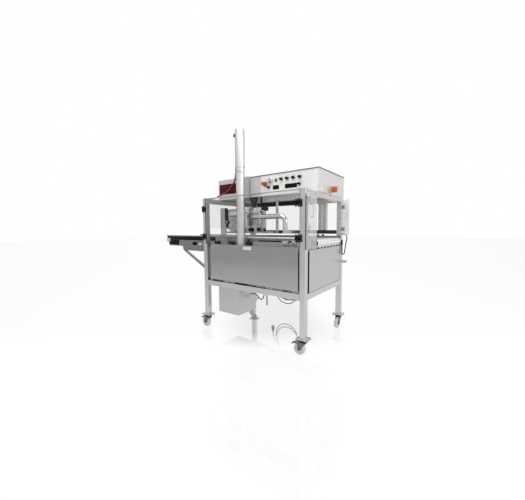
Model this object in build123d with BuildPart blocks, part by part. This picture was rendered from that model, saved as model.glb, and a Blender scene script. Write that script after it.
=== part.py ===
"""Chocolate enrobing machine on casters, as separate pieces in one frame, in millimetres."""
import math
import os

from build123d import *

os.makedirs("parts", exist_ok=True)

# Welded frame of square tube
frame_length = 1170.0
frame_depth = 832.0
frame_height = 1340.0
tube = 50.0
tube_wall = 2.0
tube_round = 4.0
lower_rail_z = 455.0
back_upright = 40.0
back_upright_gap = 10.0
back_upright_from_right = 161.0
mid_rail = 40.0
mid_rail_gap = 17.0
bearer = 40.0
left_bearer_x = 300.0
right_bearer_x = 870.0
front_strip_width = 40.0
front_strip_thick = 5.0
foot_length = 100.0
foot_width = 85.0
foot_thick = 6.0
foot_bolt_spacing_x = 80.0
foot_bolt_spacing_y = 60.0
foot_bolt_radius = 4.25
stub_reach = 55.0
stub_width = 25.0
stub_height = 25.0
stub_setback = 12.0
stub_z = 680.0

# Casters
wheel_radius = 50.0
wheel_width = 32.0
wheel_edge_round = 5.0
wheel_recess_radius = 34.0
wheel_hub_radius = 16.0
wheel_recess_depth = 5.0
axle_radius = 5.0
axle_head_radius = 9.0
axle_head = 5.0
caster_trail = 32.0
fork_leg = 4.0
fork_leg_gap = 3.0
fork_crown_gap = 4.7
fork_crown = 5.0
fork_crown_half = 27.0
fork_axle_eye = 13.0
swivel_radius = 27.0
swivel_height = 22.0
kingpin_radius = 8.0
kingpin_length = 11.0
pedal_back = 30.0
pedal_drop = 3.0
pedal_leg_foot = 9.0
pedal_leg_top = 7.0
pedal_slope_deg = 29.0
pedal_boss_radius = 6.0
pedal_pin_radius = 3.0
pedal_length = 46.0
pedal_width = 34.0
pedal_thick = 5.0
back_right_turn = 90.0

# Fits and clearances
shaft_fit = 0.05
running_gap = 0.3
sheet = 2.0

# Tank, lower panels and drive box
tank_inset = 62.0
tank_wall = 3.0
panel_inset = 20.0
panel_side_gap = 75.0
panel_foot_gap = 15.0
front_panel_left_gap = 90.0
front_panel_rise = 33.0
right_panel_inset = 5.0
right_panel_front_gap = 76.0
right_panel_gap = 2.0
drive_box_left = 155.0
drive_box_length = 264.0
drive_box_setback = 55.0
drive_box_depth = 285.0
drive_box_height = 283.0
gearbox_size = 110.0
gearmotor_radius = 45.0
gearmotor_length = 110.0
rod_motor_radius = 15.0
rod_motor_length = 58.0
rod_motor_grip = 14.0

# Top plate, sign box and control box
top_plate = 3.0
top_plate_setback = 225.0
control_setback = 234.0
sign_box_length = 428.0
box_gap = 12.0
sign_box_height = 207.0
control_box_height = 192.0
lid_thick = 5.0
lid_overhang = 6.0
sign_window_inset = 20.0
sign_window_length = 338.0
sign_window_height = 95.0
sign_window_drop = 52.0
window_thick = 3.0

# Controls, placed from the frame's left face and the control box's foot
control_stem_radius = 4.0
control_stem_length = 14.0
knob_radius = 17.0
knob_length = 30.0
knob_neck = 4.0
knob_grip_step = 6.0
upper_knob_xs = (806.0, 867.0, 930.0, 995.0)
upper_knob_rise = 137.0
lower_knob_radius = 16.0
lower_knob_xs = (667.0, 990.0)
lower_knob_rise = 76.0
stop_x = 625.0
stop_rise = 109.0
stop_cap_radius = 20.0
stop_cap_thick = 26.0
stop_stem_radius = 9.0
stop_collar_radius = 22.0
stop_collar_thick = 14.0
stop_travel = 5.0
stop_margin = 2.0
rocker_x = 684.0
rocker_rise = 133.0
rocker_bezel_radius = 31.0
rocker_bezel_thick = 14.0
rocker_width = 22.0
rocker_height = 39.0
rocker_thick = 10.0
rocker_side_gap = 1.0
rocker_pin_radius = 2.0
rocker_pin_length = 3.0
lamp_x = 746.0
lamp_rise = 134.0
lamp_radius = 16.0
lamp_length = 12.0
display_xs = ((712.0, 778.0), (843.0, 966.0))
display_rise = 50.0
display_height = 38.0
isolator_setback = 250.0
isolator_rise = 37.0
isolator_base = 70.0
isolator_base_thick = 16.0
isolator_radius = 27.0
isolator_length = 44.0
isolator_grip_width = 16.0
isolator_grip_length = 12.0
plate_setback = 27.0
plate_length = 83.0
plate_height = 24.0
plate_rise = 10.0
blank_plate = 1.5
switch_thick = 14.0
switch_width = 16.0
switch_height = 50.0
switch_setback = 34.0
switch_z = 862.0

# Clear doors and fixed clear panels
acrylic = 6.0
door_gap = 1.0
hinge_axis_offset = 14.0
hinge_leaf = 31.5
hinge_fixed_leaf = 16.5
hinge_knuckle_radius = 6.0
hinge_knuckle_gap = 0.5
hinge_pin_radius = 3.0
hinge_leaf_outer = 3.0
door_edge_gap = 3.0
front_hinge_height = 64.0
front_left_hinge_x = 25.0
front_right_hinge_inset = 54.0
front_door_drop = 60.0
front_door_top_gap = 3.0
front_door_meet_gap = 4.0
front_hinge_from_foot = 75.0
front_hinge_from_top = 105.0
handle_standoff = 45.0
handle_bar = 10.0
front_handle_height = 118.0
front_handle_from_foot = 167.0
front_handle_from_meet = 43.0
end_hinge_height = 40.0
end_hinge_inset = 25.0
end_door_width = 168.0
end_door_top_gap = 8.0
end_hinge_from_end = 60.0
near_hinge_foot = 176.0
near_hinge_drop = 41.0
near_door_drop = 78.0
far_door_gap = 7.0
far_door_top_gap = 35.0
far_door_rest_deg = 40.0
end_handle_height = 110.0
end_handle_from_hinge = 46.0
end_handle_from_top = 105.0
far_handle_from_top = 70.0
end_handle_standoff = 32.0
guard_setback = 4.0
left_guard_rise = 95.0

# Conveyor
belt_height = 940.0
infeed_reach = 940.0
discharge_reach = 8.0
conveyor_setback = 205.0
side_plate = 6.0
conveyor_inner_width = 544.0
side_plate_rise = 15.0
side_plate_drop = 95.0
side_plate_end = 2.0
infeed_drop = 115.0
infeed_slant = 55.0
bracket_drop = 166.0
bracket_near = 20.0
bracket_far = 620.0
bracket_chamfer = 20.0
belt_side_gap = 8.0
wire_belt_thick = 4.0
wire_roller_radius = 40.0
wire_drive_from_right = 300.0
wire_gaps_long = 48
wire_gaps_wide = 5
wire_gap_share = 0.8
takeoff_thick = 3.0
takeoff_roller_radius = 28.0
takeoff_drop = 5.0
takeoff_inner_from_right = 210.0
roller_shaft_radius = 8.0
rod_radius = 5.0
rod_from_right = 248.5
rod_drop = 12.0
bearing_length = 64.0
bearing_height = 44.0
bearing_thick = 18.0
takeoff_bearing_length = 44.0
tie_bar_radius = 9.0
tie_bar_xs = (-3.0, 208.0, 446.0)
tie_bar_drop = 62.0
guard_tube_radius = 10.0
guard_tube_left = 427.0
guard_tube_length = 547.0
guard_tube_drop = 2.0
strut_width = 25.0
strut_top_far = 585.0
strut_top_run = 40.0
strut_foot_drop = 8.0
strut_foot_run = 32.0
infeed_knob_radius = 20.0
infeed_knob_length = 24.0
infeed_knob_back = 388.0
infeed_knob_drop = 79.0

# Pump column
pump_x = 400.0
pump_setback = 130.0
pump_radius = 41.5
pump_wall = 2.0
pump_cover_radius = 45.5
pump_cover_length = 363.0
pump_rise = 276.0
pump_slot_height = 60.0
pump_slot_width = 24.0
auger_core_radius = 14.0
auger_pitch = 90.0
auger_blade = 4.0
auger_foot_gap = 6.0
auger_stem_radius = 7.0
pump_motor_radius = 36.0
pump_motor_length = 240.0
terminal_length = 24.0
terminal_width = 30.0
terminal_height = 30.0
terminal_drop = 34.0
spout_radius = 22.0
spout_wall = 2.0
spout_bend = 45.0
spout_reach = 165.0
spout_rise = 223.0
spout_inside = 12.0

# Coating head
hopper_setback = 247.0
hopper_depth = 506.0
hopper_wall = 3.0
hopper_left = 90.0
hopper_right = 262.0
hopper_height = 258.0
hopper_left_shoulder_rise = 55.0
hopper_right_shoulder_rise = 53.0
hopper_slit_rise = 27.0
hopper_slit_left = 216.0
hopper_slit_right = 248.0
upright_left = 13.0
upright_right = 93.0
upright_height = 300.0
upright_thick = 8.0
bar_height = 20.0
bar_depth = 20.0
bar_rise = 30.0
hanger_rod_radius = 14.0
hanger_rod_x = 728.0
hanger_rod_from_bar = 54.5
hanger_rod_rise = 30.0
clamp_height = 26.0
clamp_width = 22.0
hopper_knob_x = 108.0
hopper_knob_rise = 145.0
hopper_knob_radius = 19.0
hopper_knob_length = 18.0
blower_left = 386.0
blower_length = 186.0
blower_depth = 42.0
blower_height = 198.0
blower_round = 30.0
fan_motor_x = 470.0
fan_motor_rise = 100.0
fan_motor_radius = 38.0
fan_motor_length = 68.0
plenum_left = 361.0
plenum_right = 620.0
plenum_depth = 60.0
plenum_height = 35.0
plenum_round = 10.0
bellows_x = 468.0
bellows_top_radius = 42.0
bellows_foot_radius = 15.0
plenum_stay_x = 559.0
plenum_stay_radius = 7.0
duct_radius = 23.0
duct_wall = 2.0
duct_bend = 55.0
duct_rise = 161.0
duct_from_bar = 14.0
duct_start = 450.0
duct_elbow_x = 842.0
duct_window = 24.0
knife_length = 526.0
knife_width = 32.0
knife_height = 26.0
clamp_knob_radius = 20.0
clamp_knob_length = 22.0
clamp_knob_neck = 8.0
clamp_knob_xs = (454.0, 562.0)
clamp_knob_rise = 17.0

# Cords
pump_cable_radius = 4.0
loop_cable_radius = 5.0
drain_tube_radius = 6.0
mains_radius = 4.5
hook_radius = 45.0
hook_x = 488.0
hook_z = 560.0
hook_length = 72.0
hook_rim = 58.0
hook_rim_thick = 3.0
inlet_box_x = 610.0
inlet_box_length = 70.0
inlet_box_height = 60.0
inlet_box_rise = 24.0
inlet_box_depth = 50.0
gland_radius = 11.0
gland_length = 26.0
gland_tip_radius = 6.5
loop_bottom_radius = 150.0
loop_drops = (282.0, 240.0)
loop_step = 14.0
loop_first = 28.0
plug_length = 46.0
plug_radius = 19.0
plug_neck_radius = 8.0
plug_neck_length = 30.0
plug_pin_radius = 2.4
plug_pin_length = 19.0
plug_pin_spacing = 19.0

# Faces of the frame, with the origin under the middle of the whole machine
far_door_turn = math.radians(far_door_rest_deg)
door_outer = hinge_axis_offset - door_gap - acrylic
door_reach = hinge_axis_offset + end_door_width * math.sin(far_door_turn)
door_reach -= door_outer * math.cos(far_door_turn)
handle_reach = door_gap + acrylic + handle_standoff
hook_reach = hook_length + hook_rim_thick - panel_inset
left = (infeed_reach - frame_length - door_reach) / 2
right = left + frame_length
front = (handle_reach - frame_depth - hook_reach) / 2
back = front + frame_depth

# Heights
axle_z = wheel_radius
crown_z = 2 * wheel_radius + fork_crown_gap
swivel_z = crown_z + fork_crown + running_gap
plate_z = swivel_z + swivel_height
foot_z = plate_z + foot_thick
post_z = foot_z + foot_thick
rail_top = lower_rail_z + tube
plates_bottom = belt_height - side_plate_drop
plates_top = belt_height + side_plate_rise
front_door_foot = belt_height - front_door_drop
near_door_foot = belt_height - near_door_drop
far_door_foot = plates_top + far_door_gap
left_guard_foot = belt_height + left_guard_rise
hopper_slit_z = plates_top + hopper_slit_rise
hopper_left_shoulder = hopper_slit_z + hopper_left_shoulder_rise
hopper_right_shoulder = hopper_slit_z + hopper_right_shoulder_rise
hopper_top = hopper_slit_z + hopper_height
spout_height = plates_top + spout_rise
upright_top = plates_top + upright_height
bar_z = plates_top + bar_rise
duct_z = bar_z + duct_rise
hanger_rod_z = plates_top + hanger_rod_rise
box_z = frame_height + top_plate
panel_y = front + control_setback


def block(x0, x1, y0, y1, z0, z1, mode=Mode.ADD):
    """A box between two opposite corners."""
    with Locations(((x0 + x1) / 2, (y0 + y1) / 2, (z0 + z1) / 2)):
        Box(x1 - x0, y1 - y0, z1 - z0, mode=mode)


def round_x(x0, x1, y, z, radius, mode=Mode.ADD):
    """A round bar along X."""
    with Locations(Location(((x0 + x1) / 2, y, z), (0, 90, 0))):
        Cylinder(radius, x1 - x0, mode=mode)


def round_y(x, y0, y1, z, radius, mode=Mode.ADD):
    """A round bar along Y."""
    with Locations(Location((x, (y0 + y1) / 2, z), (90, 0, 0))):
        Cylinder(radius, y1 - y0, mode=mode)


def round_z(x, y, z0, z1, radius, mode=Mode.ADD):
    """A round bar along Z."""
    with Locations((x, y, (z0 + z1) / 2)):
        Cylinder(radius, z1 - z0, mode=mode)


def save(piece, label):
    """Name one finished piece and write it."""
    piece.label = label
    export_step(piece, f"parts/{label}.step")


def save_group(pieces, label):
    """Write several touching solids as one named group."""
    save(Compound(label=label, children=list(pieces)), label)


def side_plane(y):
    """The plane that looks at the machine from the front, at depth y."""
    return Plane(origin=(0, y, 0), x_dir=(1, 0, 0), z_dir=(0, -1, 0))


def square_tube(x0, x1, y0, y1, z0, z1, axis, size):
    """A hollow square tube along one axis, open at both ends."""
    inset = {axis_name: tube_wall for axis_name in "XYZ"}
    inset[axis] = 0
    along = {"X": Axis.X, "Y": Axis.Y, "Z": Axis.Z}[axis]
    with BuildPart() as run:
        block(x0, x1, y0, y1, z0, z1)
        fillet(run.edges().filter_by(along), min(tube_round, size / 4))
        block(x0 + inset["X"], x1 - inset["X"], y0 + inset["Y"], y1 - inset["Y"],
              z0 + inset["Z"], z1 - inset["Z"], Mode.SUBTRACT)
    return run.part


def open_pan(x0, x1, y0, y1, z0, z1, open_side, wall):
    """A shallow folded pan or open box, open on one side such as +Y or -X."""
    inset = {"-X": wall, "+X": wall, "-Y": wall, "+Y": wall, "-Z": wall, "+Z": wall}
    inset[open_side] = 0
    with BuildPart() as pan:
        block(x0, x1, y0, y1, z0, z1)
        block(x0 + inset["-X"], x1 - inset["+X"], y0 + inset["-Y"], y1 - inset["+Y"],
              z0 + inset["-Z"], z1 - inset["+Z"], Mode.SUBTRACT)
    return pan.part


# Welded frame
post_centres = {
    "front_left": (left + tube / 2, front + tube / 2),
    "front_right": (right - tube / 2, front + tube / 2),
    "back_left": (left + tube / 2, back - tube / 2),
    "back_right": (right - tube / 2, back - tube / 2),
}
inner_left = left + tube
inner_right = right - tube
inner_front = front + tube
inner_back = back - tube
mid_rail_z = plates_top + mid_rail_gap
mid_rail_top = mid_rail_z + mid_rail
upright_b_x = right - back_upright_from_right
upright_a_x = upright_b_x - back_upright_gap - back_upright
frame_pieces = []
for post_x, post_y in post_centres.values():
    half = tube / 2
    frame_pieces.append(square_tube(post_x - half, post_x + half, post_y - half, post_y + half,
                                    post_z, frame_height, "Z", tube))
    with BuildPart() as foot_plate:
        block(post_x - foot_length / 2, post_x + foot_length / 2,
              post_y - foot_width / 2, post_y + foot_width / 2, foot_z, post_z)
        with Locations((post_x, post_y, foot_z)):
            with GridLocations(foot_bolt_spacing_x, foot_bolt_spacing_y, 2, 2):
                Cylinder(foot_bolt_radius, 3 * foot_thick, mode=Mode.SUBTRACT)
    frame_pieces.append(foot_plate.part)
rail_boxes = [
    (inner_left, inner_right, front, inner_front, lower_rail_z, rail_top, "X", tube),
    (inner_left, inner_right, inner_back, back, lower_rail_z, rail_top, "X", tube),
    (left, inner_left, inner_front, inner_back, lower_rail_z, rail_top, "Y", tube),
    (inner_right, right, inner_front, inner_back, lower_rail_z, rail_top, "Y", tube),
    (left, inner_left, inner_front, inner_back, frame_height - tube, frame_height, "Y", tube),
    (inner_right, right, inner_front, inner_back, frame_height - tube, frame_height, "Y", tube),
    (inner_left, inner_right, inner_back, back, frame_height - tube, frame_height, "X", tube),
    (inner_left, inner_right, inner_back, inner_back + mid_rail, mid_rail_z, mid_rail_top, "X", mid_rail),
]
for upright_x in (upright_a_x, upright_b_x):
    rail_boxes.append((upright_x - back_upright, upright_x, inner_back, inner_back + back_upright,
                       mid_rail_top, frame_height - tube, "Z", back_upright))
for bearer_x in (left_bearer_x, right_bearer_x):
    rail_boxes.append((left + bearer_x - bearer / 2, left + bearer_x + bearer / 2,
                       inner_front, inner_back, rail_top - bearer, rail_top, "Y", bearer))
for rail_box in rail_boxes:
    frame_pieces.append(square_tube(*rail_box))
with BuildPart() as front_strip:
    block(inner_left, inner_right, front, front + front_strip_width,
          frame_height - front_strip_thick, frame_height)
frame_pieces.append(front_strip.part)
with BuildPart() as cable_stub:
    block(right, right + stub_reach, back - stub_setback - stub_width, back - stub_setback,
          stub_z, stub_z + stub_height)
    block(right, right + stub_reach, back - stub_setback - stub_width + sheet, back - stub_setback,
          stub_z, stub_z + stub_height - sheet, Mode.SUBTRACT)
frame_pieces.append(cable_stub.part)
save_group(frame_pieces, "welded_frame")

# Caster plates with their swivel heads
with BuildPart() as caster_plates:
    for post_x, post_y in post_centres.values():
        block(post_x - foot_length / 2, post_x + foot_length / 2,
              post_y - foot_width / 2, post_y + foot_width / 2, plate_z, foot_z)
        round_z(post_x, post_y, swivel_z, plate_z, swivel_radius)
        with Locations((post_x, post_y, plate_z)):
            with GridLocations(foot_bolt_spacing_x, foot_bolt_spacing_y, 2, 2):
                Cylinder(foot_bolt_radius, 3 * foot_thick, mode=Mode.SUBTRACT)
        round_z(post_x, post_y, swivel_z - swivel_height, swivel_z + kingpin_length + 1,
                kingpin_radius + shaft_fit, Mode.SUBTRACT)
save(caster_plates.part, "caster_plates")

leg_inner = wheel_width / 2 + fork_leg_gap
leg_outer = leg_inner + fork_leg
pedal_x = -caster_trail - pedal_back
pedal_z = crown_z - pedal_drop


def caster_fork(corner, turn_deg, braked):
    """A swivel fork with its axle, its kingpin and, on a braked caster, the pedal's pin."""
    post_x, post_y = post_centres[corner]
    turn = math.radians(turn_deg)
    along = (math.cos(turn), math.sin(turn), 0)
    across = (math.sin(turn), -math.cos(turn), 0)
    end_x = pedal_x - pedal_boss_radius - fork_leg
    outline = [(fork_crown_half, crown_z), (axle_head_radius - caster_trail, axle_z),
               (-axle_head_radius - caster_trail, axle_z)]
    if braked:
        outline += [(-fork_axle_eye - caster_trail, pedal_z - pedal_leg_foot),
                    (end_x, pedal_z - pedal_leg_foot), (end_x, pedal_z + pedal_leg_top)]
    outline += [(-fork_crown_half, crown_z + fork_crown), (fork_crown_half, crown_z + fork_crown)]
    with BuildPart(Plane(origin=(post_x, post_y, 0), x_dir=along)) as fork:
        block(-fork_crown_half, fork_crown_half, -leg_outer, leg_outer, crown_z, crown_z + fork_crown)
        round_z(0, 0, crown_z, swivel_z + kingpin_length, kingpin_radius)
        for side in (-1, 1):
            near = leg_inner if side > 0 else -leg_outer
            origin = Vector(post_x, post_y, 0) + Vector(*across) * near
            with BuildSketch(Plane(origin=origin, x_dir=along, z_dir=across)):
                with BuildLine():
                    Polyline(*outline, close=True)
                make_face()
                with Locations((-caster_trail, axle_z)):
                    Circle(fork_axle_eye)
            extrude(amount=fork_leg)
        reach = leg_outer + axle_head
        round_y(-caster_trail, -reach, reach, axle_z, axle_radius)
        round_y(-caster_trail, leg_outer, reach, axle_z, axle_head_radius)
        round_y(-caster_trail, -reach, -leg_outer, axle_z, axle_head_radius)
        if braked:
            round_y(pedal_x, -leg_outer, leg_outer, pedal_z, pedal_pin_radius)
    save(fork.part, f"caster_fork_{corner}")


def caster_wheel(corner, turn_deg):
    """A wheel with a rounded tread and a recess round its hub on both sides."""
    post_x, post_y = post_centres[corner]
    turn = math.radians(turn_deg)
    half_width = wheel_width / 2
    with BuildPart(Plane(origin=(post_x, post_y, 0), x_dir=(math.cos(turn), math.sin(turn), 0))) as wheel:
        round_y(-caster_trail, -half_width, half_width, axle_z, wheel_radius)
        fillet(wheel.edges().filter_by(GeomType.CIRCLE), wheel_edge_round)
        for start, end in ((-half_width, wheel_recess_depth - half_width),
                           (half_width - wheel_recess_depth, half_width)):
            round_y(-caster_trail, start, end, axle_z, wheel_recess_radius, Mode.SUBTRACT)
            round_y(-caster_trail, start, end, axle_z, wheel_hub_radius)
        round_y(-caster_trail, -wheel_width, wheel_width, axle_z, axle_radius + shaft_fit, Mode.SUBTRACT)
    save(wheel.part, f"caster_wheel_{corner}")


def caster_brake(corner):
    """A foot pedal that turns on the fork's rear pin."""
    post_x, post_y = post_centres[corner]
    half_width = pedal_width / 2
    with BuildPart(Plane(origin=(post_x, post_y, 0))) as pedal:
        round_y(pedal_x, -half_width, half_width, pedal_z, pedal_boss_radius)
        with Locations(Location((pedal_x, 0, pedal_z), (0, -pedal_slope_deg, 0))):
            Box(pedal_length, pedal_width, pedal_thick, align=(Align.MAX, Align.CENTER, Align.CENTER))
        round_y(pedal_x, -pedal_width, pedal_width, pedal_z, pedal_pin_radius + shaft_fit, Mode.SUBTRACT)
    save(pedal.part, f"caster_brake_{corner}")


for corner in post_centres:
    turn_deg = back_right_turn if corner == "back_right" else 0.0
    braked = corner.startswith("front")
    caster_fork(corner, turn_deg, braked)
    caster_wheel(corner, turn_deg)
    if braked:
        caster_brake(corner)

# Tank, an open basin on the bearers
tank_left = left + tank_inset
tank_right = right - tank_inset
tank_front = front + tank_inset
tank_back = back - tank_inset
save(open_pan(tank_left, tank_right, tank_front, tank_back, rail_top, plates_bottom, "+Z", tank_wall),
     "tank")

# Lower panels, folded pans that stand against the tank
panel_z = rail_top + panel_foot_gap
save(open_pan(left + front_panel_left_gap, right - panel_side_gap, front + panel_inset, tank_front,
              panel_z, plates_bottom + front_panel_rise, "+Y", sheet), "front_panel")
back_face = back - panel_inset
side_pans = [
    open_pan(tank_right, right - right_panel_inset, front + right_panel_front_gap,
             back - tube - right_panel_gap, rail_top + right_panel_gap, plates_bottom, "-X", sheet),
    open_pan(left + panel_inset, tank_left, front + panel_side_gap, tank_back,
             panel_z, plates_bottom, "+X", sheet),
    open_pan(left + panel_side_gap, right - panel_side_gap, tank_back, back_face,
             panel_z, plates_bottom, "-Y", sheet),
]
with BuildPart() as cord_hook:
    round_y(left + hook_x, back_face, back_face + hook_length, hook_z, hook_radius)
    round_y(left + hook_x, back_face + hook_length, back_face + hook_length + hook_rim_thick,
            hook_z, hook_rim)
    block(left + hook_x - hook_rim, left + hook_x + hook_rim, back_face,
          back_face + hook_length + hook_rim_thick, hook_z - hook_rim, hook_z, Mode.SUBTRACT)
save_group(side_pans + [cord_hook.part], "lower_side_panels")

# Box under the frame, with the belts' gearmotor, and the pump's motor in its cover
drive_x0 = left + drive_box_left
drive_x1 = drive_x0 + drive_box_length
drive_y0 = front + drive_box_setback
drive_y1 = drive_y0 + drive_box_depth
drive_top = rail_top - bearer
drive_z = drive_top - drive_box_height
save(open_pan(drive_x0, drive_x1, drive_y0, drive_y1, drive_z, drive_top, "+Z", sheet), "drive_box")
column_x = left + pump_x
column_y = front + pump_setback
cover_z = frame_height + pump_rise
cover_top = cover_z + pump_cover_length
cover_floor = cover_z + 2 * pump_wall
drive_mid_x = (drive_x0 + drive_x1) / 2
drive_mid_y = (drive_y0 + drive_y1) / 2
half_gearbox = gearbox_size / 2
with BuildPart() as belt_motor:
    block(drive_mid_x - half_gearbox, drive_mid_x + half_gearbox, drive_mid_y, drive_mid_y + gearbox_size,
          drive_z + sheet, drive_z + sheet + gearbox_size)
    round_y(drive_mid_x, drive_mid_y - gearmotor_length, drive_mid_y,
            drive_z + sheet + half_gearbox, gearmotor_radius)
with BuildPart() as pump_motor:
    round_z(column_x, column_y, cover_floor, cover_floor + pump_motor_length, pump_motor_radius)
    round_z(column_x, column_y, cover_floor - pump_wall, cover_floor + pump_motor_length / 4,
            auger_stem_radius + shaft_fit, Mode.SUBTRACT)

# Top plate, sign box, control box and lid
with BuildPart() as ceiling_plate:
    block(left, right, front + top_plate_setback, back, frame_height, box_z)
save(ceiling_plate.part, "ceiling_plate")
sign_right = left + sign_box_length
control_left = sign_right + box_gap
control_top = box_z + control_box_height
save(open_pan(left, sign_right, panel_y, back, box_z, box_z + sign_box_height, "-Z", sheet), "sign_box")

stop_centre = (left + stop_x, box_z + stop_rise)
rocker_centre = (left + rocker_x, box_z + rocker_rise)
isolator_centre = (panel_y + isolator_setback, box_z + isolator_rise)
upper_knobs = [(left + x, box_z + upper_knob_rise) for x in upper_knob_xs]
lower_knobs = [(left + x, box_z + lower_knob_rise) for x in lower_knob_xs]
with BuildPart() as control_box:
    add(open_pan(control_left, right, panel_y, back, box_z, control_top, "-Z", sheet))
    for knob_x, knob_z in upper_knobs + lower_knobs:
        round_y(knob_x, panel_y - sheet, panel_y + 2 * sheet, knob_z,
                control_stem_radius + shaft_fit, Mode.SUBTRACT)
    round_y(stop_centre[0], panel_y - sheet, panel_y + 2 * sheet, stop_centre[1],
            stop_stem_radius + shaft_fit, Mode.SUBTRACT)
    round_x(right - 2 * sheet, right + sheet, isolator_centre[0], isolator_centre[1],
            control_stem_radius + shaft_fit, Mode.SUBTRACT)
save(control_box.part, "control_box")
with BuildPart() as control_box_lid:
    block(control_left, right + lid_overhang, panel_y - lid_overhang, back,
          control_top, control_top + lid_thick)
save(control_box_lid.part, "control_box_lid")

# Fixed fittings on the boxes
fittings = []
sign_top = box_z + sign_box_height
with BuildPart() as sign_window:
    block(left + sign_window_inset, left + sign_window_inset + sign_window_length,
          panel_y - window_thick, panel_y, sign_top - sign_window_drop - sign_window_height,
          sign_top - sign_window_drop)
fittings.append(sign_window.part)
for display_left, display_right in display_xs:
    with BuildPart() as display:
        block(left + display_left, left + display_right, panel_y - window_thick, panel_y,
              box_z + display_rise, box_z + display_rise + display_height)
    fittings.append(display.part)
with BuildPart() as stop_collar:
    round_y(stop_centre[0], panel_y - stop_collar_thick, panel_y, stop_centre[1], stop_collar_radius)
    round_y(stop_centre[0], panel_y - 2 * stop_collar_thick, panel_y + sheet, stop_centre[1],
            stop_stem_radius + shaft_fit, Mode.SUBTRACT)
fittings.append(stop_collar.part)
rocker_y = panel_y - rocker_bezel_thick / 2 - rocker_side_gap
pocket_x = rocker_width / 2 + rocker_side_gap
pocket_z = rocker_height / 2 + 1.5 * rocker_side_gap
with BuildPart() as rocker_bezel:
    round_y(rocker_centre[0], panel_y - rocker_bezel_thick, panel_y, rocker_centre[1], rocker_bezel_radius)
    block(rocker_centre[0] - pocket_x, rocker_centre[0] + pocket_x,
          panel_y - 2 * rocker_bezel_thick, panel_y + sheet,
          rocker_centre[1] - pocket_z, rocker_centre[1] + pocket_z, Mode.SUBTRACT)
    pin_reach = rocker_width / 2 + 2 * rocker_pin_length
    round_x(rocker_centre[0] - pin_reach, rocker_centre[0] + pin_reach, rocker_y, rocker_centre[1],
            rocker_pin_radius + shaft_fit, Mode.SUBTRACT)
fittings.append(rocker_bezel.part)
with BuildPart() as lamp:
    round_y(left + lamp_x, panel_y - lamp_length, panel_y, box_z + lamp_rise, lamp_radius)
fittings.append(lamp.part)
with BuildPart() as isolator_mount:
    round_x(right, right + isolator_base_thick, isolator_centre[0], isolator_centre[1], isolator_base / 2)
    round_x(right - sheet, right + 2 * isolator_base_thick, isolator_centre[0], isolator_centre[1],
            control_stem_radius + shaft_fit, Mode.SUBTRACT)
fittings.append(isolator_mount.part)
with BuildPart() as side_label:
    block(right, right + blank_plate, panel_y + plate_setback, panel_y + plate_setback + plate_length,
          box_z + plate_rise, box_z + plate_rise + plate_height)
fittings.append(side_label.part)
with BuildPart() as door_switch:
    block(right, right + switch_thick, back - switch_setback - switch_width, back - switch_setback,
          switch_z, switch_z + switch_height)
fittings.append(door_switch.part)
inlet_left = left + inlet_box_x
inlet_z = hook_z + inlet_box_rise
gland_y = back_face + loop_first
gland_z = inlet_z + inlet_box_height / 2
gland_tip_x = inlet_left - gland_length
with BuildPart() as inlet_box:
    block(inlet_left, inlet_left + inlet_box_length, back_face, back_face + inlet_box_depth,
          inlet_z, inlet_z + inlet_box_height)
    with BuildSketch(Plane(origin=(inlet_left, gland_y, gland_z), z_dir=(-1, 0, 0))):
        Circle(gland_radius)
    with BuildSketch(Plane(origin=(gland_tip_x, gland_y, gland_z), z_dir=(-1, 0, 0))):
        Circle(gland_tip_radius)
    loft()
fittings.append(inlet_box.part)
save_group(fittings, "panel_fittings")

# Controls that move
with BuildPart() as emergency_stop:
    cap_y = panel_y - stop_collar_thick - stop_travel - stop_margin
    round_y(stop_centre[0], cap_y - stop_cap_thick, cap_y, stop_centre[1], stop_cap_radius)
    fillet(emergency_stop.edges().group_by(Axis.Y)[0], stop_cap_radius / 2)
    round_y(stop_centre[0], cap_y, panel_y + sheet, stop_centre[1], stop_stem_radius)
save(emergency_stop.part, "emergency_stop")
with BuildPart() as start_stop_rocker:
    block(rocker_centre[0] - rocker_width / 2, rocker_centre[0] + rocker_width / 2,
          rocker_y - rocker_thick / 2, rocker_y + rocker_thick / 2,
          rocker_centre[1] - rocker_height / 2, rocker_centre[1] + rocker_height / 2)
    pin_half = rocker_width / 2 + rocker_pin_length
    round_x(rocker_centre[0] - pin_half, rocker_centre[0] + pin_half, rocker_y, rocker_centre[1],
            rocker_pin_radius)
save(start_stop_rocker.part, "start_stop_rocker")


def control_knob(label, centre, radius):
    """A ridged pointer knob on a stem through the control box's front."""
    knob_x, knob_z = centre
    knob_back = panel_y - running_gap
    with BuildPart() as knob:
        round_y(knob_x, knob_back - knob_neck, knob_back, knob_z, radius)
        round_y(knob_x, knob_back - knob_length, knob_back - knob_neck, knob_z, radius - knob_grip_step)
        block(knob_x - knob_neck / 2, knob_x + knob_neck / 2, knob_back - knob_length, knob_back - knob_neck,
              knob_z, knob_z + radius - knob_neck)
        round_y(knob_x, knob_back, knob_back + control_stem_length, knob_z, control_stem_radius)
    save(knob.part, label)


for number, centre in enumerate(upper_knobs, 1):
    control_knob(f"upper_knob_{number}", centre, knob_radius)
for number, centre in enumerate(lower_knobs, 1):
    control_knob(f"lower_knob_{number}", centre, lower_knob_radius)
with BuildPart() as isolator_switch:
    base_x = right + isolator_base_thick + running_gap
    tip_x = base_x + isolator_length
    round_x(base_x, tip_x, isolator_centre[0], isolator_centre[1], isolator_radius)
    block(tip_x, tip_x + isolator_grip_length, isolator_centre[0] - isolator_grip_width / 2,
          isolator_centre[0] + isolator_grip_width / 2, isolator_centre[1] - isolator_radius + fork_leg,
          isolator_centre[1] + isolator_radius - fork_leg)
    round_x(right - control_stem_length, base_x, isolator_centre[0], isolator_centre[1], control_stem_radius)
save(isolator_switch.part, "isolator_switch")

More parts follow.
